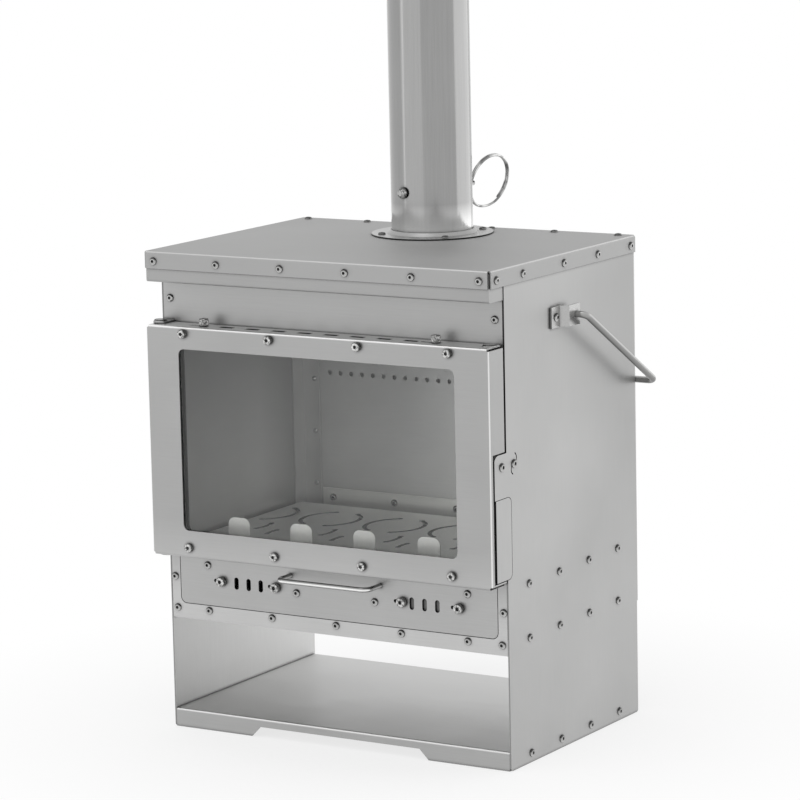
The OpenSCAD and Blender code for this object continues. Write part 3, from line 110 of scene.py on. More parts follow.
class StoveFinishes(bpy.types.PropertyGroup):
    """Colours and surface of the stove's materials"""
    front_steel: colour("Front steel", "Reflection colour of the door, the drawer's face and the frame",
                        (0.372, 0.372, 0.370))
    panel_steel: colour("Panel steel", "Reflection colour of the side panels, pull flap and inner sheets",
                        (0.440, 0.440, 0.437))
    hood_steel: colour("Hood steel", "Reflection colour of the hood under the lid", (0.345, 0.345, 0.343))
    lid_steel: colour("Lid steel", "Reflection colour of the lid", (0.395, 0.395, 0.393))
    base_steel: colour("Base steel", "Reflection colour of the storage bay's shelf", (0.400, 0.400, 0.397))
    pipe_steel: colour("Pipe steel", "Reflection colour of the rolled flue pipe", (0.315, 0.315, 0.313))
    collar_steel: colour("Collar steel", "Reflection colour of the flue collar", (0.360, 0.360, 0.358))
    bright_steel: colour("Bright steel", "Reflection colour of the brackets and small parts",
                         (0.440, 0.440, 0.435))
    wire_steel: colour("Wire steel", "Reflection colour of the bail's wire", (0.330, 0.330, 0.325))
    polished_steel: colour("Polished steel", "Reflection colour of the drawer's handle and the damper's ring",
                           (0.620, 0.620, 0.615))
    shutter_steel: colour("Shutter steel", "Reflection colour of the air shutters", (0.150, 0.150, 0.148))
    bolt_steel: colour("Bolt steel", "Reflection colour of screws, bolts and knobs", (0.42, 0.42, 0.415))
    wall_steel: colour("Wall steel", "Reflection colour of the firebox walls", (0.56, 0.56, 0.555))
    grate_steel: colour("Grate steel", "Reflection colour of the grate and the firebox floor",
                        (0.97, 0.97, 0.94))
    guard_steel: colour("Guard steel", "Reflection colour of the log guard's tabs", (0.90, 0.90, 0.87))
    glass_tint: colour("Glass tint", "Tint of the heat-proof pane", (0.925, 0.932, 0.929))
    tape: colour("Glass tape", "Colour of the woven tape behind the door", (0.62, 0.60, 0.54))
    satin: share("Satin roughness", "Roughness of the flat sheets", 0.40)
    grain: share("Grain", "Strength of the fine brushed grain", 0.30)
    waviness: share("Waviness", "Strength of the slow waves in the flat sheets", 0.25)
    # Strength of the painted highlight on the sheets' bends
    bend_highlight: share("Bend shine", "How much the sheets' bends are polished", 0.70)
    # How dark the cut sheet edges are: partly the oxide of a laser cut, partly painted shade in the gaps
    # beside them
    cut_oxide_and_shade: share("Cut darkness", "How dark the laser-cut sheet edges are", 0.85)
    # Strength of the painted shade in narrow seams, gaps and round the feet of screws
    seam_shade: share("Seam darkness", "How dark narrow seams and the feet of screws are", 0.90)
    seam_reach: length("Seam reach", "How near another surface must be to darken a seam",
                       0.0035, 0.0005, 0.02)
    edge_round: length("Edge rounding", "Rounding that the shading gives to sharp sheet edges",
                       0.0004, 0, 0.003)


class StoveFasteners(bpy.types.PropertyGroup):
    """Shape of the screw heads, bolts and knobs"""
    segments: IntProperty(name="Segments", description="Sides of a round head", default=36, min=12, max=96)
    socket: share("Socket", "Width of the hex socket, as a share of the head's width", 0.42)
    rim: share("Rim", "Height of the head's straight rim, as a share of its height", 0.22)
    knurls: IntProperty(name="Knurls", description="Ridges round a knurled head", default=36, min=8, max=80)
    knurl_depth: length("Knurl depth", "Depth of the grooves between two ridges", 0.00028, 0, 0.001)
    thread_pitch: length("Thread pitch", "Distance between two threads of a shank", 0.0005, 0.0002, 0.002)


class StoveStudio(bpy.types.PropertyGroup):
    """Camera, lamps and floor"""
    camera_place: FloatVectorProperty(name="Camera place", description="Where the camera stands", size=3,
                                      default=(1.904363, -3.114447, 0.941575), subtype="TRANSLATION",
                                      unit="LENGTH")
    view_turn: FloatVectorProperty(name="Camera turn", description="Yaw, pitch and roll of the camera",
                                   default=(math.radians(31.777), math.radians(9.484), math.radians(-1.278)),
                                   size=3, subtype="EULER", unit="ROTATION")
    lens: FloatProperty(name="Lens", description="Focal length on a 36 mm sensor, in millimetres",
                        default=171.06, min=20, max=400)
    shift: FloatVectorProperty(name="Shift", description="Shift of the frame, in frame widths", size=2,
                               default=(0.02096, -0.01809))
    floor: colour("Floor", "Colour of the floor", (0.96, 0.96, 0.96))
    floor_size: length("Floor size", "Width of the floor", 14.0, 2, 40)
    ambient: share("Ambient", "Strength of the room's light on matt surfaces", 0.75)
    strip_power: FloatProperty(name="Strip lamp", default=1.6, min=0, max=500,
                               description="Power of the narrow lamp at the left, in watts")
    front_power: FloatProperty(name="Front lamp", description="Power of the broad lamp in front, in watts",
                               default=5, min=0, max=500)
    side_power: FloatProperty(name="Side lamp", description="Power of the broad lamp at the right, in watts",
                              default=13, min=0, max=500)
    top_power: FloatProperty(name="Top lamp", description="Power of the lamp overhead, in watts",
                             default=5, min=0, max=500)


# ---- material graphs ----

class Graph:
    """Short hand for one material's node tree"""

    def __init__(self, name):
        self.material = bpy.data.materials.new(name)
        self.material.use_nodes = True
        self.tree = self.material.node_tree
        self.tree.nodes.clear()
        self.output = self.tree.nodes.new("ShaderNodeOutputMaterial")

    def add(self, kind, inputs=None, **settings):
        made = self.tree.nodes.new(kind)
        for key, value in settings.items():
            setattr(made, key, value)
        for key, value in (inputs or {}).items():
            self.put(made.inputs[key], value)
        return made

    def put(self, socket, value):
        if isinstance(value, bpy.types.NodeSocket):
            self.tree.links.new(value, socket)
        elif isinstance(value, (tuple, list)) and len(value) == 3 and socket.type == "RGBA":
            socket.default_value = (*value, 1)
        else:
            socket.default_value = value

    def math(self, operation, a, b=0.0, clamp=False):
        made = self.add("ShaderNodeMath", operation=operation, use_clamp=clamp)
        self.put(made.inputs[0], a)
        self.put(made.inputs[1], b)
        return made.outputs[0]

    def noise(self, at, scale, detail=2.0, rough=0.5):
        return self.add("ShaderNodeTexNoise", {"Vector": at, "Scale": scale, "Detail": detail,
                                               "Roughness": rough}).outputs["Fac"]

    def remap(self, value, low, high, to_low, to_high):
        return self.add("ShaderNodeMapRange", {"Value": value, "From Min": low, "From Max": high,
                                               "To Min": to_low, "To Max": to_high}).outputs["Result"]

    def blend(self, factor, a, b):
        made = self.add("ShaderNodeMix", data_type="RGBA")
        self.put(made.inputs["Factor"], factor)
        self.put(made.inputs[6], a)
        self.put(made.inputs[7], b)
        return made.outputs[2]

    def vector(self, operation, a, b=(0, 0, 0)):
        made = self.add("ShaderNodeVectorMath", operation=operation)
        self.put(made.inputs[0], a)
        self.put(made.inputs[1], b)
        return made.outputs[0]

    def greatest(self, parts):
        return self.math("MAXIMUM", parts["X"], self.math("MAXIMUM", parts["Y"], parts["Z"]))

    def split(self, vector):
        return self.add("ShaderNodeSeparateXYZ", {0: vector}).outputs

    def zone(self, place, low, high, factor, soft=0.0002):
        """Factor inside a box of object coordinates, 1 outside it, with a border soft wide"""
        middle = [(a + b) / 2 for a, b in zip(low, high)]
        half = [(b - a) / 2 for a, b in zip(low, high)]
        off = self.vector("ABSOLUTE", self.vector("SUBTRACT", place, middle))
        past = self.split(self.vector("SUBTRACT", off, half))
        return self.remap(self.greatest(past), -soft, 0.0, factor, 1.0)

    def shade(self, tint, factor):
        """Tint times a grey factor"""
        made = self.add("ShaderNodeVectorMath", operation="SCALE")
        self.put(made.inputs[0], tint)
        self.put(made.inputs["Scale"], factor)
        return made.outputs[0]

    def bump(self, height, strength, distance, normal=None):
        made = self.add("ShaderNodeBump", {"Height": height, "Strength": strength, "Distance": distance})
        if normal is not None:
            self.put(made.inputs["Normal"], normal)
        return made.outputs[0]


def steel(name, tint, rough, stretch, grain, waviness=0.0, edge_round=0.0, smudge=0.05, bend=0.0, cut=None,
          seam=0.0, reach=0.004, spots=None, roll=None, rise=None, zones=()):
    """Worked steel. stretch gives the grain's cycles per metre along X, Y and Z.

    bend paints a highlight on the sheet's bends, cut names the axis a flat sheet faces and how dark its edges
    are, partly the oxide of a laser cut and partly painted shade in the gaps beside them, seam paints shade
    where another surface lies nearer than reach, spots gives the size and strength of spots, roll paints
    light and shade as the tint's factor on faces turned down, sideways and up, rise gives its factor at two
    heights, zones its factor in boxes, as painted shade and light, on all faces or on those that don't face
    an axis, and a border's width."""
    g = Graph(name)
    seen = g.add("ShaderNodeTexCoord")
    place, turned = seen.outputs["Object"], seen.outputs["Normal"]
    along = g.add("ShaderNodeMapping", {"Vector": place, "Scale": stretch}).outputs[0]
    streak = g.noise(along, 1.0, 3.0, 0.6)
    cloud = g.noise(place, CLOUDS, 3.0, 0.55)
    fine = g.noise(place, FINE_GRAIN, 1.0)
    base = g.shade(tint, g.remap(cloud, 0.25, 0.75, 1 - smudge, 1 + smudge))
    base = g.shade(base, g.remap(streak, *MID_NOISE, 1 - GRAIN_TINT * grain, 1 + GRAIN_TINT * grain))
    if spots:
        size, strength = spots
        spot = g.noise(place, size, 1.0)
        base = g.shade(base, g.remap(spot, 0.38, 0.62, 1 - strength, 1 + strength * 0.6))
    facing = g.split(g.vector("ABSOLUTE", turned))
    up = g.split(turned)["Z"]
    # Painted light and shade: the tint's factor follows how far a face turns down, sideways or up
    if roll:
        down, sideways, upward = roll
        lower = g.remap(up, -0.75, -0.1, down, sideways)
        upper = g.remap(up, 0.05, 0.4, 1.0, upward / sideways)
        base = g.shade(base, g.math("MULTIPLY", lower, upper))
    # Tint by height: painted light and shade on the door, frame, panels and pipe; on the firebox walls,
    # darker towards the top
    if rise:
        base = g.shade(base, g.remap(g.split(place)["Z"], *rise))
    # Painted highlight: bends that face up or sideways are blended towards a pale colour
    if bend:
        highlight = g.remap(g.greatest(facing), 0.95, 0.85, 0.0, bend)
        highlight = g.math("MULTIPLY", highlight, g.remap(up, -0.15, 0.0, 0.1, 1.0))
        base = g.blend(highlight, base, BEND_HIGHLIGHT)
    # Edge-on faces darken: partly laser-cut oxide, partly painted shade in the gaps they face
    if cut:
        axis, dark = cut
        base = g.shade(base, g.remap(facing[axis], *EDGE_ON, 1 - dark, 1.0))
    # Painted shade and light in boxes: gaps, slots and edges, the bay's inside, the rear of panels and walls
    for low, high, factor, axis, *soft in zones:
        amount = g.zone(place, low, high, factor, *soft)
        if axis:
            amount = g.math("MAXIMUM", amount, g.remap(facing[axis], *EDGE_ON, 0.0, 1.0))
        base = g.shade(base, amount)
    # Painted shade: darker where another surface lies nearer than reach, in seams, gaps, corners and round
    # screws
    if seam:
        near = g.add("ShaderNodeAmbientOcclusion", {"Distance": reach}, samples=SEAM_SAMPLES).outputs["AO"]
        base = g.shade(base, g.remap(near, 0.35, 0.92, 1 - seam, 1.0))
    dull = g.remap(streak, *MID_NOISE, rough * (1 - GRAIN_DULL * grain), rough * (1 + GRAIN_DULL * grain))
    dull = g.math("ADD", dull, g.remap(cloud, *MID_NOISE, -0.03, 0.03), clamp=True)
    normal = None
    if edge_round:
        normal = g.add("ShaderNodeBevel", {"Radius": edge_round}, samples=EDGE_SAMPLES).outputs[0]
    if waviness:
        normal = g.bump(g.noise(place, SLOW_WAVES, 1.0), waviness, WAVE_HEIGHT, normal)
    normal = g.bump(streak, 0.25 * grain, STREAK_HEIGHT, normal)
    normal = g.bump(fine, 0.05 + 0.1 * grain, FINE_HEIGHT, normal)
    shader = g.add("ShaderNodeBsdfPrincipled", {"Base Color": base, "Metallic": 1.0, "Roughness": dull,
                                                "Normal": normal})
    g.put(g.output.inputs["Surface"], shader.outputs[0])
    return g.material


def hollow_shade(name, grey):
    """Painted shade: near-black steel in sockets and under heads, where shade falls"""
    g = Graph(name)
    place = g.add("ShaderNodeTexCoord").outputs["Object"]
    base = g.shade((grey, grey, grey), g.remap(g.noise(place, 800.0, 1.0), *MID_NOISE, 0.6, 1.6))
    shader = g.add("ShaderNodeBsdfPrincipled", {"Base Color": base, "Metallic": 0.6, "Roughness": 0.55})
    g.put(g.output.inputs["Surface"], shader.outputs[0])
    return g.material


def tinted_glass(name, tint):
    """Heat-proof pane with a faint haze. Light falls through it on what lies behind."""
    g = Graph(name)
    place = g.add("ShaderNodeTexCoord").outputs["Object"]
    haze = g.noise(place, 14.0, 3.0, 0.6)
    rough = g.remap(haze, 0.35, 0.75, 0.0, 0.05)
    body = g.shade(tint, g.remap(haze, *MID_NOISE, 0.97, 1.0))
    pane = g.add("ShaderNodeBsdfPrincipled", {"Base Color": body, "Roughness": rough, "IOR": 1.46,
                                              "Transmission Weight": 1.0})
    clear = g.add("ShaderNodeBsdfTransparent", {"Color": tuple(tint)})
    mix = g.add("ShaderNodeMixShader", {"Fac": g.add("ShaderNodeLightPath").outputs["Is Shadow Ray"]})
    g.put(mix.inputs[1], pane.outputs[0])
    g.put(mix.inputs[2], clear.outputs[0])
    g.put(g.output.inputs["Surface"], mix.outputs[0])
    return g.material


def woven_tape(name, tint):
    """Flat glass-fibre tape with a plain weave"""
    g = Graph(name)
    place = g.add("ShaderNodeTexCoord").outputs["Object"]
    warp, weft = (g.add("ShaderNodeTexWave", {"Vector": place, "Scale": WEAVE, "Distortion": 0.6},
                        bands_direction=axis).outputs["Fac"] for axis in ("X", "Z"))
    weave = g.math("MULTIPLY", warp, weft)
    base = g.shade(tint, g.remap(weave, 0.0, 1.0, 0.75, 1.05))
    shader = g.add("ShaderNodeBsdfPrincipled", {"Base Color": base, "Roughness": 0.85,
                                                "Normal": g.bump(weave, 0.6, WEAVE_HEIGHT)})
    g.put(g.output.inputs["Surface"], shader.outputs[0])
    return g.material


# Zones: a box's lowest and highest corner, the tint's factor in it, an axis whose faces keep their tint,
# and the border's width. They paint shade in the gaps and slots of the door, panels and flap, a dark band
# round the collar, painted light inside the bay, and painted shade that darkens the panels and the firebox
# side walls towards the rear.
SLOTS, FIRST_SLOT, SLOT_PITCH, SLOT_HALF = 8, -0.10555, 0.0293, 0.0078
DOOR_ZONES = (((-0.125, -0.1528, 0.4008), (0.125, -0.1472, 0.40295), 0.04, "Z"),
              ((0.187, -0.1655, 0.1775), (0.1905, -0.1380, 0.1800), 0.05, None),
              *(((x - SLOT_HALF, -0.1534, 0.4020), (x + SLOT_HALF, -0.1466, 0.4040), 0.12, None)
                for x in (FIRST_SLOT + SLOT_PITCH * i for i in range(SLOTS))))
PANEL_ZONES = (((-0.1892, -0.2, 0.0), (0.1892, 0.2, 0.126), 1.4, None),
               ((-0.4, -0.02, 0.15), (0.4, 0.4, 0.7), 0.86, None, 0.12),
               ((0.18, -0.1592, 0.255), (0.191, -0.1568, 0.305), 0.05, None),
               ((0.18, -0.1362, 0.302), (0.191, -0.1346, 0.475), 0.15, None))
FLAP_ZONES = (((0.17, -0.1605, 0.180), (0.191, -0.1548, 0.262), 0.05, None),)
WALL_ZONES = (((-0.25, 0.015, 0.10), (0.25, 0.18, 0.48), 0.66, None, 0.055),)
COLLAR_ZONES = (((-0.1, -0.1, 0.4735), (0.1, 0.2, 0.4754), 0.12, "Z"),)

MADE = {}


def finish(kind):
    """The stove's material of one kind, made once"""
    if kind in MADE:
        return MADE[kind]
    f = bpy.context.scene.stove_finishes
    seams = {"waviness": f.waviness, "seam": f.seam_shade, "reach": f.seam_reach}
    sheet = {"edge_round": f.edge_round, **seams}
    firebox = {"edge_round": f.edge_round, "smudge": 0.08}
    wall = {"waviness": 0.2, **firebox}
    # Painted shade in the firebox's corners, reaching 30 mm
    wall_seams = {"seam": 0.45, "reach": 0.03}

    def worked(tint, rough, stretch, grain=f.grain, **more):
        """Maker of one worked steel"""
        return lambda: steel(kind, tuple(tint), rough, stretch, grain, **more)

    makers = {
        # Door: painted light on tops and near its bottom, painted highlight on bends, painted shade in its
        # gaps and slots
        "door_steel": worked(f.front_steel, f.satin, LEVEL_GRAIN, bend=f.bend_highlight, roll=(1.0, 1.0, 1.7),
                             rise=(0.18, 0.215, 1.16, 1.0), zones=DOOR_ZONES, **sheet),
        # Frame: painted light below 0.135 m, edges darkened as cut oxide and painted gap shade
        "front_steel": worked(f.front_steel, f.satin, LEVEL_GRAIN, cut=("Y", f.cut_oxide_and_shade),
                              rise=(0.135, 0.185, 1.36, 1.0), **seams),
        # Drawer: painted light on its upright faces
        "drawer_steel": worked(f.front_steel, f.satin, LEVEL_GRAIN, cut=("Y", f.cut_oxide_and_shade),
                               roll=(1.0, 1.10, 1.0), **seams),
        # Hood: a faint painted highlight on its bends
        "hood_steel": worked(f.hood_steel, f.satin, LEVEL_GRAIN, bend=f.bend_highlight * 0.3, **sheet),
        # Shelf: painted light on its top faces and a painted highlight on its bends
        "base_steel": worked(f.base_steel, f.satin, LEVEL_GRAIN, bend=f.bend_highlight * 0.6,
                             roll=(1.0, 1.0, 1.38), **sheet),
        # Panels: painted shade towards the top
        "panel_steel": worked(f.panel_steel, f.satin, UPRIGHT_GRAIN, cut=("X", f.cut_oxide_and_shade * 0.55),
                              rise=(0.27, 0.44, 1.0, 0.86), zones=PANEL_ZONES, **seams),
        "flap_steel": worked(f.panel_steel, f.satin, UPRIGHT_GRAIN, cut=("X", 0.97),
                             zones=FLAP_ZONES, **seams),
        "inner_steel": worked(f.panel_steel, f.satin, UPRIGHT_GRAIN, **sheet),
        "shutter_steel": worked(f.shutter_steel, f.satin, LEVEL_GRAIN, **sheet),
        # Lid: painted shade on its top faces, painted highlight on its bends
        "lid_steel": worked(f.lid_steel, f.satin * 1.45, LID_GRAIN, bend=f.bend_highlight * 0.5,
                            roll=(1.0, 1.0, 0.94), **sheet),
        # Pipe: painted light at its foot, just above the collar
        "pipe_steel": worked(f.pipe_steel, 0.15, PIPE_GRAIN, waviness=0.05, smudge=0.03,
                             rise=(0.482, 0.506, 2.2, 1.0), seam=f.seam_shade, reach=f.seam_reach),
        "collar_steel": worked(f.collar_steel, 0.30, EVEN_GRAIN, f.grain * 0.6, zones=COLLAR_ZONES, **sheet),
        "bright_steel": worked(f.bright_steel, 0.24, EVEN_GRAIN, f.grain * 0.6, **sheet),
        # Bail wire: painted shade underneath, painted light on top
        "wire_steel": worked(f.wire_steel, 0.30, WIRE_GRAIN, f.grain * 0.5, roll=(0.65, 1.0, 1.15)),
        # Drawer handle: painted highlight on its sides, painted shade above and below
        "polished_steel": worked(f.polished_steel, 0.14, WIRE_GRAIN, 0.1, roll=(0.35, 1.45, 0.45)),
        # Split ring: painted light and shade by facing, painted shade between the coils
        "ring_steel": worked(f.polished_steel, 0.16, RING_GRAIN, 0.1, spots=(90, 0.55),
                             roll=(0.35, 0.85, 0.7), seam=0.8, reach=0.001),
        # Screws: painted shade on top of the heads, painted light underneath
        "bolt_steel": worked(f.bolt_steel, 0.18, BOLT_GRAIN, smudge=0.08, roll=(1.5, 0.95, 0.15)),
        # Knurled heads: painted light and shade by facing, painted shade in the grooves
        "knurled_steel": worked(f.bolt_steel, 0.26, KNURL_GRAIN, 1.0, smudge=0.10, spots=(550, 0.55),
                                roll=(1.4, 1.15, 0.6), seam=0.5, reach=0.0008),
        # Firebox walls: darker towards the top, painted shade in the corners
        "wall_steel": worked(f.wall_steel, 0.42, GRAIN_ALONG_X, rise=(FIRE_LOW, FIRE_HIGH, 1.50, 0.68),
                             **wall_seams, **wall),
        # Side walls: painted shade also towards the rear
        "side_wall_steel": worked(f.wall_steel, 0.42, GRAIN_ALONG_Y, rise=(FIRE_LOW, FIRE_HIGH, 1.30, 0.55),
                                  zones=WALL_ZONES, **wall_seams, **wall),
        "post_steel": worked(f.wall_steel, 0.42, GRAIN_ALONG_Z, rise=(FIRE_LOW, FIRE_HIGH, 1.2, 0.72),
                             **wall),
        "hearth_steel": worked(f.grate_steel, 0.45, GRAIN_ALONG_X, **firebox),
        "grate_steel": worked(f.grate_steel, 0.45, GRAIN_ALONG_X, cut=("Z", f.cut_oxide_and_shade), **firebox),
        "guard_steel": worked(f.guard_steel, 0.55, EVEN_GRAIN, **firebox),
        # Painted shade for sockets and the feet of heads, near-black and grey
        "hollow_shade": lambda: hollow_shade(kind, 0.02),
        "grey_hollow_shade": lambda: hollow_shade(kind, 0.10),
        "window_glass": lambda: tinted_glass(kind, tuple(f.glass_tint)),
        "glass_tape": lambda: woven_tape(kind, tuple(f.tape)),
    }
    MADE[kind] = makers[kind]()
    return MADE[kind]


def dress(kind, *names):
    """Gives carried-over nodes of the part a finish"""
    for name in names:
        mesh = NODES[name].data
        mesh.materials.clear()
        mesh.materials.append(finish(kind))


# ---- mesh helpers ----

def new_piece(name, mesh, kind, body, node, hollow="hollow_shade"):
    """Links a piece that stands for a node, rides on its body and takes a finish, with painted shade in its
    hollows
    """
    piece = bpy.data.objects.new(name, mesh)
    bpy.context.scene.collection.objects.link(piece)
    mesh.materials.append(finish(kind))
    mesh.materials.append(finish(hollow))
    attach(piece, body)
    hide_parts(node)


def mesh_from(bm, name, smooth_angle=35):
    """Mesh of a bmesh, shaded smooth except at edges of smooth_angle degrees or more"""
    bmesh.ops.recalc_face_normals(bm, faces=bm.faces)
    for edge in bm.edges:
        if len(edge.link_faces) == 2:
            edge.smooth = edge.calc_face_angle(0) < math.radians(smooth_angle)
    for face in bm.faces:
        face.smooth = True
    mesh = bpy.data.meshes.new(name)
    bm.to_mesh(mesh)
    bm.free()
    return mesh


def solids_of(node):
    """Vertices of each separate solid in a node"""
    mesh = NODES[node].data
    co = np.array([v.co for v in mesh.vertices])
    _, place = np.unique(np.round(co / SAME_PLACE).astype(np.int64), axis=0, return_inverse=True)
    place = place.reshape(-1)
    group = np.arange(place.max() + 1)
    ends = np.array([[e.vertices[0], e.vertices[1]] for e in mesh.edges])
    a, b = place[ends[:, 0]], place[ends[:, 1]]
    while True:
        low = np.minimum(group[a], group[b])
        before = group.copy()
        np.minimum.at(group, a, low)
        np.minimum.at(group, b, low)
        group = group[group]
        if (group == before).all():
            break
    tag = group[place]
    return [co[tag == t] for t in np.unique(tag)]


def axis_frame(axis):
    """Rotation that turns +Z to the axis"""
    return Vector((0, 0, 1)).rotation_difference(Vector(axis)).to_matrix().to_4x4()


def off_axis(co, mid, k):
    """Distance of vertices from the line through mid along axis number k"""
    a, b = (i for i in range(3) if i != k)
    return np.hypot(co[:, a] - mid[a], co[:, b] - mid[b])


class Fastener:
    """Place and size of one screw or bolt of the part: seat, outward axis, head and shank"""

    def __init__(self, co):
        low, high = co.min(0), co.max(0)
        mid = (low + high) / 2
        best = None
        for k in range(3):
            for sign in (-1, 1):
                end = low[k] if sign < 0 else high[k]
                spread = off_axis(co[np.abs(co[:, k] - end) < END_REACH], mid, k).max()
                if best is None or spread < best[0]:
                    best = (spread, k, -sign)
        _, k, sign = best
        self.axis = Vector([sign if i == k else 0 for i in range(3)])
        radius = off_axis(co, mid, k)
        self.head_r = float(radius.max())
        wide = co[radius > SHANK_R * 1.15, k] * sign
        self.head_h = float(wide.max() - wide.min())
        self.shank_l = float(wide.min() - (co[:, k] * sign).min())
        seat = Vector(mid)
        seat[k] = float(wide.min()) * sign
        self.seat = seat

    def matrix(self):
        return Matrix.Translation(self.seat) @ axis_frame(self.axis)


def rings(bm, profile, sides, wave=None, dark=()):
    """Skins circles of the profile's (radius, height) pairs and returns them.

    wave changes a corner's radius, and dark numbers the skins that lie in hollows and take the painted shade."""
    made = []
    for n, (r, z) in enumerate(profile):
        ring = []
        for i in range(sides):
            a = FULL_TURN * i / sides
            rr = r if wave is None else wave(n, i, r)
            ring.append(bm.verts.new((rr * math.cos(a), rr * math.sin(a), z)))
        made.append(ring)
    for n, (lower, upper) in enumerate(zip(made, made[1:])):
        for i in range(sides):
            j = (i + 1) % sides
            face = bm.faces.new((lower[i], lower[j], upper[j], upper[i]))
            face.material_index = 1 if n in dark else 0
    return made


def hex_radius(r, angle):
    """Distance of a hexagon's edge from its middle in one direction; r is to its corners"""
    a = angle % (math.pi / 3) - math.pi / 6
    return r * math.cos(math.pi / 6) / math.cos(a)


def socket_rings(bm, outer, sides, r, top, depth):
    """Joins a head's last ring to a hex socket and closes its floor"""
    # Shares of the socket's radius: width of the lip, its chamfer, and depth of the drill's tip
    lip_width, chamfer, tip_depth = 1.06, 0.08, 0.25
    lip, wall, deep = [], [], []
    for i in range(sides):
        a = FULL_TURN * i / sides
        h = hex_radius(r, a)
        lip.append(bm.verts.new((h * lip_width * math.cos(a), h * lip_width * math.sin(a), top)))
        wall.append(bm.verts.new((h * math.cos(a), h * math.sin(a), top - r * chamfer)))
        deep.append(bm.verts.new((h * math.cos(a), h * math.sin(a), top - depth)))
    # The socket's walls and floor take the painted shade
    for lower, upper in ((outer, lip), (lip, wall), (wall, deep)):
        for i in range(sides):
            j = (i + 1) % sides
            face = bm.faces.new((lower[i], lower[j], upper[j], upper[i]))
            face.material_index = 0 if lower is outer else 1
    tip = bm.verts.new((0, 0, top - depth - r * tip_depth))
    for i in range(sides):
        bm.faces.new((deep[i], deep[(i + 1) % sides], tip)).material_index = 1


def shank(bm, r, tall, pitch, sides=20):
    """Threaded shank from the head's seat down"""
    # Shares of the shank's radius: its end, the chamfer there, and the thread's crest and root
    tip, chamfer, crest, root = 0.55, 0.3, 0.97, 0.86
    steps = max(2, int(tall / (pitch / 2)))
    profile = [(r * tip, -tall)]
    for n in range(steps + 1):
        z = -tall + r * chamfer + (tall - r * chamfer) * n / steps
        profile.append((r * (crest if n % 2 else root), z))
    made = rings(bm, profile, sides)
    bm.faces.new(list(reversed(made[0])))
    bm.faces.new(made[-1])


def button_head(bm, f, sides, socket, rim):
    """Domed head with a hex socket, inside the head of the part's screw"""
    r, h = f.head_r, f.head_h
    dome_steps = 6
    top_r = r * (socket + 0.14)
    profile = [(r * 0.90, 0.0), (r * 0.985, h * 0.04), (r, h * 0.10), (r, h * rim)]
    for n in range(1, dome_steps + 1):
        a = n / dome_steps * math.pi / 2
        profile.append((top_r + (r - top_r) * math.cos(a), h * rim + (h - h * rim) * math.sin(a)))
    # The three lowest skins, up the rim's side, take the painted shade
    made = rings(bm, profile, sides, dark=(0, 1, 2))
    socket_rings(bm, made[-1], sides, r * socket, h, h * 0.62)
    bm.faces.new(list(reversed(made[0])))


def cap_head(bm, f, socket, knurls, depth):
    """Straight knurled head with a chamfered top and a hex socket"""
    r, h = f.head_r, f.head_h
    per_knurl = 4
    sides = knurls * per_knurl

    def knurl(n, i, radius):
        """Radius of one corner: the straight rings 2 to 4 have a groove beside each ridge"""
        if n in (2, 3, 4):
            return radius - depth * (0.0 if i % per_knurl in (0, 1) else 1.0)
        return radius

    profile = [(r * 0.93, 0.0), (r * 0.97, h * 0.05), (r, h * 0.10), (r, h * 0.45), (r, h * 0.80),
               (r * 0.965, h * 0.88), (r * 0.90, h * 0.97), (r * 0.84, h), (r * (socket + 0.10), h)]
    # The two lowest skins, under the knurls, take the painted shade
    made = rings(bm, profile, sides, wave=knurl, dark=(0, 1))
    socket_rings(bm, made[-1], sides, r * socket, h, h * 0.55)
    bm.faces.new(list(reversed(made[0])))


def fasteners(name, node, body, kind, head):
    """One mesh that stands for all screws of a node"""
    s = bpy.context.scene.stove_fasteners
    bm = bmesh.new()
    for n, co in enumerate(solids_of(node)):
        f = Fastener(co)
        one = bmesh.new()
        if head == "button":
            button_head(one, f, s.segments, s.socket, s.rim)
        else:
            cap_head(one, f, s.socket, s.knurls, s.knurl_depth)
        shank(one, SHANK_R, f.shank_l, s.thread_pitch)
        turn = Matrix.Rotation(math.radians((n * SCREW_TURN) % SOCKET_REPEAT), 4, "Z")
        one.transform(f.matrix() @ turn)
        part = bpy.data.meshes.new("part")
        one.to_mesh(part)
        one.free()
        bm.from_mesh(part)
        bpy.data.meshes.remove(part)
    # Button heads get a near-black painted shade in their hollows, knurled heads a grey one
    new_piece(name, mesh_from(bm, name), kind, body, node,
              hollow="hollow_shade" if head == "button" else "grey_hollow_shade")


def thin_axis(node):
    """Direction in which a node is thinnest"""
    co = np.array([v.co for v in NODES[node].data.vertices])
    return Vector(np.linalg.svd(co - co.mean(0), full_matrices=False)[2][2])


class FlatRound:
    """Place and size of a round, flat node about a given axis: middle, radius and half its thickness"""

    def __init__(self, node, axis):
        co = np.array([v.co for v in NODES[node].data.vertices])
        self.axis = Vector(axis).normalized()
        side = self.axis.orthogonal().normalized()
        frame_axes = np.array([side, self.axis.cross(side), self.axis])
        turned = co @ frame_axes.T
        low, high = turned.min(0), turned.max(0)
        self.middle = Vector(((low + high) / 2) @ frame_axes)
        self.radius = float(max(high[:2] - low[:2])) / 2
        self.half = float(high[2] - low[2]) / 2

    def matrix(self, down=0.0):
        return Matrix.Translation(self.middle - self.axis * down) @ axis_frame(self.axis)


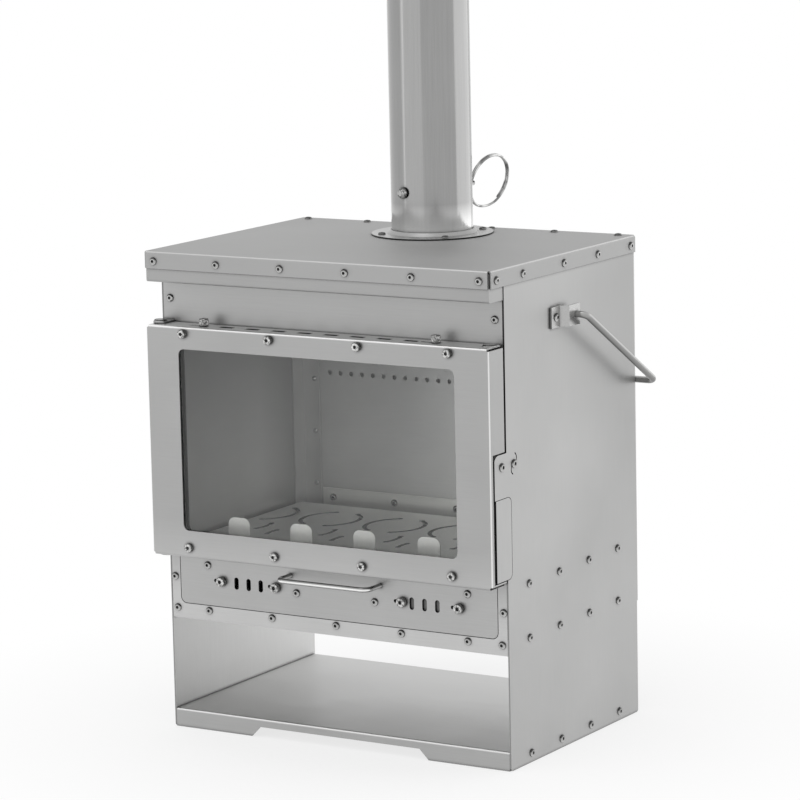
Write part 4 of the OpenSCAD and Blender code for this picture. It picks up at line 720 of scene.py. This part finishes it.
def coil(bm, radius, half, sides=14, steps=150):
    """Split ring of two turns that lie side by side and cross over once, axis along Z"""
    start, cross, end = math.radians(32), math.radians(335), math.radians(688)
    wide = math.radians(50)
    # Shares: the wire and the turns' offset of half the ring's thickness, and a cut end and a turn's flatness
    thick, apart, cut_end, flat = 0.62, 0.5, 0.75, 0.98
    wire = half * thick
    sections = []
    for n in range(steps + 1):
        a = start + (end - start) * n / steps
        t = min(max((a - cross) / wide, 0.0), 1.0)
        lift = (2 * t * t * (3 - 2 * t) - 1) * half * apart
        size = wire * (cut_end if n in (0, steps) else 1.0)
        ring = []
        for k in range(sides):
            b = FULL_TURN * k / sides
            r = radius + size * math.cos(b)
            ring.append(bm.verts.new((r * math.cos(a), r * math.sin(a), lift + size * math.sin(b) * flat)))
        sections.append(ring)
    for lower, upper in zip(sections, sections[1:]):
        for k in range(sides):
            j = (k + 1) % sides
            bm.faces.new((lower[k], lower[j], upper[j], upper[k]))
    bm.faces.new(list(reversed(sections[0])))
    bm.faces.new(sections[-1])


# ---- pieces ----

class StoveOperator:
    """What the stove's operators share"""
    bl_options = {"REGISTER", "UNDO"}


class STOVE_OT_body_sheets(StoveOperator, bpy.types.Operator):
    """Finishes the folded sheets of the body, the lid and the drawer"""
    bl_idname = "stove.body_sheets"
    bl_label = "Body sheets"

    def execute(self, context):
        dress("front_steel", "front_frame")
        dress("drawer_steel", "drawer_front")
        dress("hood_steel", "hood_tray", "hinge_ears")
        dress("base_steel", "base_shelf")
        dress("panel_steel", "left_side_panel", "right_side_panel")
        dress("flap_steel", "pull_flap")
        dress("inner_steel", "back_panel", "drawer_bay_floor", "drawer_runners", "drawer_tray",
              "latch_backing", "pull_tabs")
        dress("shutter_steel", "left_air_shutter", "right_air_shutter")
        dress("lid_steel", "lid")
        dress("bright_steel", "latch_spring")
        dress("bolt_steel", "pull_pin", "handle_nuts")
        return {"FINISHED"}


class STOVE_OT_firebox(StoveOperator, bpy.types.Operator):
    """Finishes the sheets, grate, guard and rivets inside the firebox"""
    bl_idname = "stove.firebox"
    bl_label = "Firebox"

    def execute(self, context):
        dress("side_wall_steel", "left_liner", "right_liner")
        dress("wall_steel", "back_liner", "baffle")
        dress("post_steel", "corner_posts")
        dress("hearth_steel", "firebox_floor")
        dress("grate_steel", "fire_grate")
        dress("guard_steel", "log_guard")
        dress("bright_steel", "liner_rivets")
        return {"FINISHED"}


class STOVE_OT_fire_door(StoveOperator, bpy.types.Operator):
    """Finishes the door's pan, pane, tape and clamp, the airwash slider and the hinge"""
    bl_idname = "stove.fire_door"
    bl_label = "Fire door"

    def execute(self, context):
        dress("door_steel", "door_pan", "airwash_slider")
        dress("inner_steel", "glass_clamp")
        dress("window_glass", "door_glass")
        dress("glass_tape", "glass_tape")
        dress("bolt_steel", "door_nuts", "hinge_pins", "hinge_hole_plugs")
        return {"FINISHED"}


class STOVE_OT_flue(StoveOperator, bpy.types.Operator):
    """Finishes the collar, the rolled pipe and the damper, with a domed nut and a split ring"""
    bl_idname = "stove.flue"
    bl_label = "Flue and damper"

    def execute(self, context):
        s = context.scene.stove_fasteners
        dress("collar_steel", "flue_collar")
        dress("bright_steel", "damper_plate")
        dress("pipe_steel", "flue_pipe")
        dress("bolt_steel", "damper_axle")
        axle = self.middle_of("damper_ring") - self.middle_of("damper_nut")
        axle.z = 0.0
        nut = FlatRound("damper_nut", -axle)
        nut.head_r, nut.head_h = nut.radius, 2 * nut.half
        bm = bmesh.new()
        button_head(bm, nut, s.segments, s.socket, s.rim)
        bm.transform(nut.matrix(nut.half))
        new_piece("damper_dome_nut", mesh_from(bm, "damper_dome_nut"), "knurled_steel", "damper",
                  "damper_nut")
        ring = FlatRound("damper_ring", thin_axis("damper_ring"))
        bm = bmesh.new()
        coil(bm, ring.radius - ring.half, ring.half)
        bm.transform(ring.matrix())
        new_piece("damper_split_ring", mesh_from(bm, "damper_split_ring", smooth_angle=60), "ring_steel",
                  "damper", "damper_ring")
        return {"FINISHED"}

    def middle_of(self, node):
        """Middle of a node's box"""
        corners = [Vector(c) for c in NODES[node].bound_box]
        return sum(corners, Vector()) / 8


class STOVE_OT_wire_parts(StoveOperator, bpy.types.Operator):
    """Finishes the bail, its brackets and the drawer's handle"""
    bl_idname = "stove.wire_parts"
    bl_label = "Wire parts"

    def execute(self, context):
        dress("wire_steel", "bail_handle")
        dress("polished_steel", "drawer_handle")
        dress("bright_steel", "bail_brackets")
        return {"FINISHED"}


class STOVE_OT_screws(StoveOperator, bpy.types.Operator):
    """Stands domed socket screws in place of the part's plain ones"""
    bl_idname = "stove.screws"
    bl_label = "Screws"

    def execute(self, context):
        rows = (("lid_button_screws", "lid_screws", "stove_body"),
                ("side_button_screws", "side_screws", "stove_body"),
                ("frame_button_screws", "frame_screws", "stove_body"),
                ("back_button_screws", "back_screws", "stove_body"),
                ("collar_button_screws", "collar_screws", "stove_body"),
                ("latch_button_screws", "latch_screws", "stove_body"),
                ("bracket_button_screws", "bracket_screws", "stove_body"),
                ("liner_button_screws", "liner_screws", "stove_body"),
                ("drawer_button_screws", "drawer_screws", "drawer"))
        for name, node, body in rows:
            fasteners(name, node, body, "bolt_steel", "button")
        return {"FINISHED"}


class STOVE_OT_bolts_and_knobs(StoveOperator, bpy.types.Operator):
    """Stands knurled socket bolts in place of the door's bolts and the sliders' studs"""
    bl_idname = "stove.bolts_and_knobs"
    bl_label = "Bolts and knobs"

    def execute(self, context):
        rows = (("door_cap_bolts_top", "door_bolts_top", "door"),
                ("door_cap_bolts_bottom", "door_bolts_bottom", "door"),
                ("airwash_cap_studs", "airwash_knobs", "airwash"),
                ("left_vent_cap_studs", "left_shutter_knobs", "left_shutter"),
                ("right_vent_cap_studs", "right_shutter_knobs", "right_shutter"))
        for name, node, body in rows:
            fasteners(name, node, body, "knurled_steel", "cap")
        return {"FINISHED"}


# ---- studio ----

def area_lamp(name, azimuth, distance, height, width, tall, power):
    """Softbox that looks at the stove; azimuth is counted from straight in front towards the right"""
    data = bpy.data.lights.new(name, "AREA")
    data.shape = "RECTANGLE"
    data.size = width
    data.size_y = tall
    data.energy = power
    lamp = bpy.data.objects.new(name, data)
    a = math.radians(azimuth)
    lamp.location = (distance * math.sin(a), -distance * math.cos(a), height)
    to = Vector(LAMP_AIM) - lamp.location
    lamp.rotation_euler = to.to_track_quat("-Z", "Y").to_euler()
    bpy.context.scene.collection.objects.link(lamp)


def floor_material(tint):
    """Pale matt floor that turns plain white away from the stove"""
    g = Graph("studio_floor")
    place = g.add("ShaderNodeTexCoord").outputs["Object"]
    far = g.add("ShaderNodeVectorMath", {0: place}, operation="LENGTH").outputs["Value"]
    speck = g.noise(place, 300.0, 2.0)
    base = g.shade(tint, g.remap(speck, *MID_NOISE, 0.99, 1.01))
    matt = g.add("ShaderNodeBsdfPrincipled", {"Base Color": base, "Roughness": 0.9,
                                              "Specular IOR Level": 0.2})
    white = g.add("ShaderNodeEmission", {"Color": (1, 1, 1), "Strength": 1.0})
    mix = g.add("ShaderNodeMixShader", {"Fac": g.remap(far, FLOOR_NEAR, FLOOR_FAR, FLOOR_WHITE, 1.0)})
    g.put(mix.inputs[1], matt.outputs[0])
    g.put(mix.inputs[2], white.outputs[0])
    g.put(g.output.inputs["Surface"], mix.outputs[0])
    return g.material


def white_room(ambient):
    """World that camera, mirror and glass rays see as white, and that lights matt surfaces softly"""
    world = bpy.data.worlds.new("white_room")
    world.use_nodes = True
    tree = world.node_tree
    tree.nodes.clear()
    out = tree.nodes.new("ShaderNodeOutputWorld")
    seen, soft = (tree.nodes.new("ShaderNodeBackground") for _ in range(2))
    for background, strength in ((seen, 1.0), (soft, ambient)):
        background.inputs["Color"].default_value = (1, 1, 1, 1)
        background.inputs["Strength"].default_value = strength
    path = tree.nodes.new("ShaderNodeLightPath")
    most = path.outputs["Is Camera Ray"]
    for other in ("Is Glossy Ray", "Is Transmission Ray"):
        join = tree.nodes.new("ShaderNodeMath")
        join.operation = "MAXIMUM"
        tree.links.new(most, join.inputs[0])
        tree.links.new(path.outputs[other], join.inputs[1])
        most = join.outputs[0]
    mix = tree.nodes.new("ShaderNodeMixShader")
    tree.links.new(most, mix.inputs[0])
    tree.links.new(soft.outputs[0], mix.inputs[1])
    tree.links.new(seen.outputs[0], mix.inputs[2])
    tree.links.new(mix.outputs[0], out.inputs["Surface"])
    bpy.context.scene.world = world


class STOVE_OT_studio(StoveOperator, bpy.types.Operator):
    """Sets up the floor, the white room, four soft lamps and the camera"""
    bl_idname = "stove.studio"
    bl_label = "Studio"

    def execute(self, context):
        s = context.scene.stove_studio
        bm = bmesh.new()
        bmesh.ops.create_grid(bm, x_segments=8, y_segments=8, size=s.floor_size / 2)
        for v in bm.verts:
            v.co.z = -FLOOR_DROP
        floor = bpy.data.objects.new("studio_floor", mesh_from(bm, "studio_floor"))
        floor.data.materials.append(floor_material(tuple(s.floor)))
        context.scene.collection.objects.link(floor)
        white_room(s.ambient)
        # Azimuth, distance, height, width and tallness of each
        area_lamp("strip_lamp", -49, 2.4, 0.8, 0.40, 2.2, s.strip_power)
        area_lamp("front_lamp", -20, 2.6, 0.9, 3.0, 2.2, s.front_power)
        area_lamp("side_lamp", 141, 2.6, 0.9, 3.6, 1.8, s.side_power)
        area_lamp("top_lamp", -10, 0.9, 2.4, 1.6, 1.2, s.top_power)
        self.camera(context.scene, s)
        context.scene.view_settings.view_transform = "Standard"
        return {"FINISHED"}

    def camera(self, scene, s):
        """Stands the camera where the photo was taken from"""
        yaw, pitch, roll = s.view_turn
        back = Vector((math.sin(yaw) * math.cos(pitch), -math.cos(yaw) * math.cos(pitch), math.sin(pitch)))
        right = Vector((math.cos(yaw), math.sin(yaw), 0))
        up = back.cross(right)
        right, up = (right * math.cos(roll) + up * math.sin(roll),
                     up * math.cos(roll) - right * math.sin(roll))
        data = bpy.data.cameras.new("photo_camera")
        data.sensor_width = SENSOR_MM
        data.lens = s.lens
        data.shift_x, data.shift_y = s.shift
        data.clip_end = VIEW_END
        camera = bpy.data.objects.new("photo_camera", data)
        camera.matrix_world = Matrix((right, up, back)).transposed().to_4x4()
        camera.location = s.camera_place
        scene.collection.objects.link(camera)
        scene.camera = camera


class STOVE_PT_panel(bpy.types.Panel):
    """The stove's pieces and sizes in the 3D view's sidebar"""
    bl_idname = "STOVE_PT_panel"
    bl_label = "Tent stove"
    bl_space_type = "VIEW_3D"
    bl_region_type = "UI"
    bl_category = "Tent stove"

    def draw(self, context):
        for step in STEPS:
            self.layout.operator(step.bl_idname)
        for group in (getattr(context.scene, key) for key in GROUPS):
            box = self.layout.box()
            for key in group.bl_rna.properties.keys():
                if key not in ("rna_type", "name"):
                    box.prop(group, key)


STEPS = (STOVE_OT_body_sheets, STOVE_OT_firebox, STOVE_OT_fire_door, STOVE_OT_flue, STOVE_OT_wire_parts,
         STOVE_OT_screws, STOVE_OT_bolts_and_knobs, STOVE_OT_studio)
GROUPS = {"stove_finishes": StoveFinishes, "stove_fasteners": StoveFasteners, "stove_studio": StoveStudio}


def register():
    for key, group in GROUPS.items():
        bpy.utils.register_class(group)
        setattr(bpy.types.Scene, key, PointerProperty(type=group))
    for step in STEPS:
        bpy.utils.register_class(step)
    bpy.utils.register_class(STOVE_PT_panel)


def unregister():
    bpy.utils.unregister_class(STOVE_PT_panel)
    for step in reversed(STEPS):
        bpy.utils.unregister_class(step)
    for key, group in reversed(GROUPS.items()):
        delattr(bpy.types.Scene, key)
        bpy.utils.unregister_class(group)


def main():
    register()
    for step in STEPS:
        group, name = step.bl_idname.split(".")
        getattr(getattr(bpy.ops, group), name)()


if __name__ == "__main__":
    main()
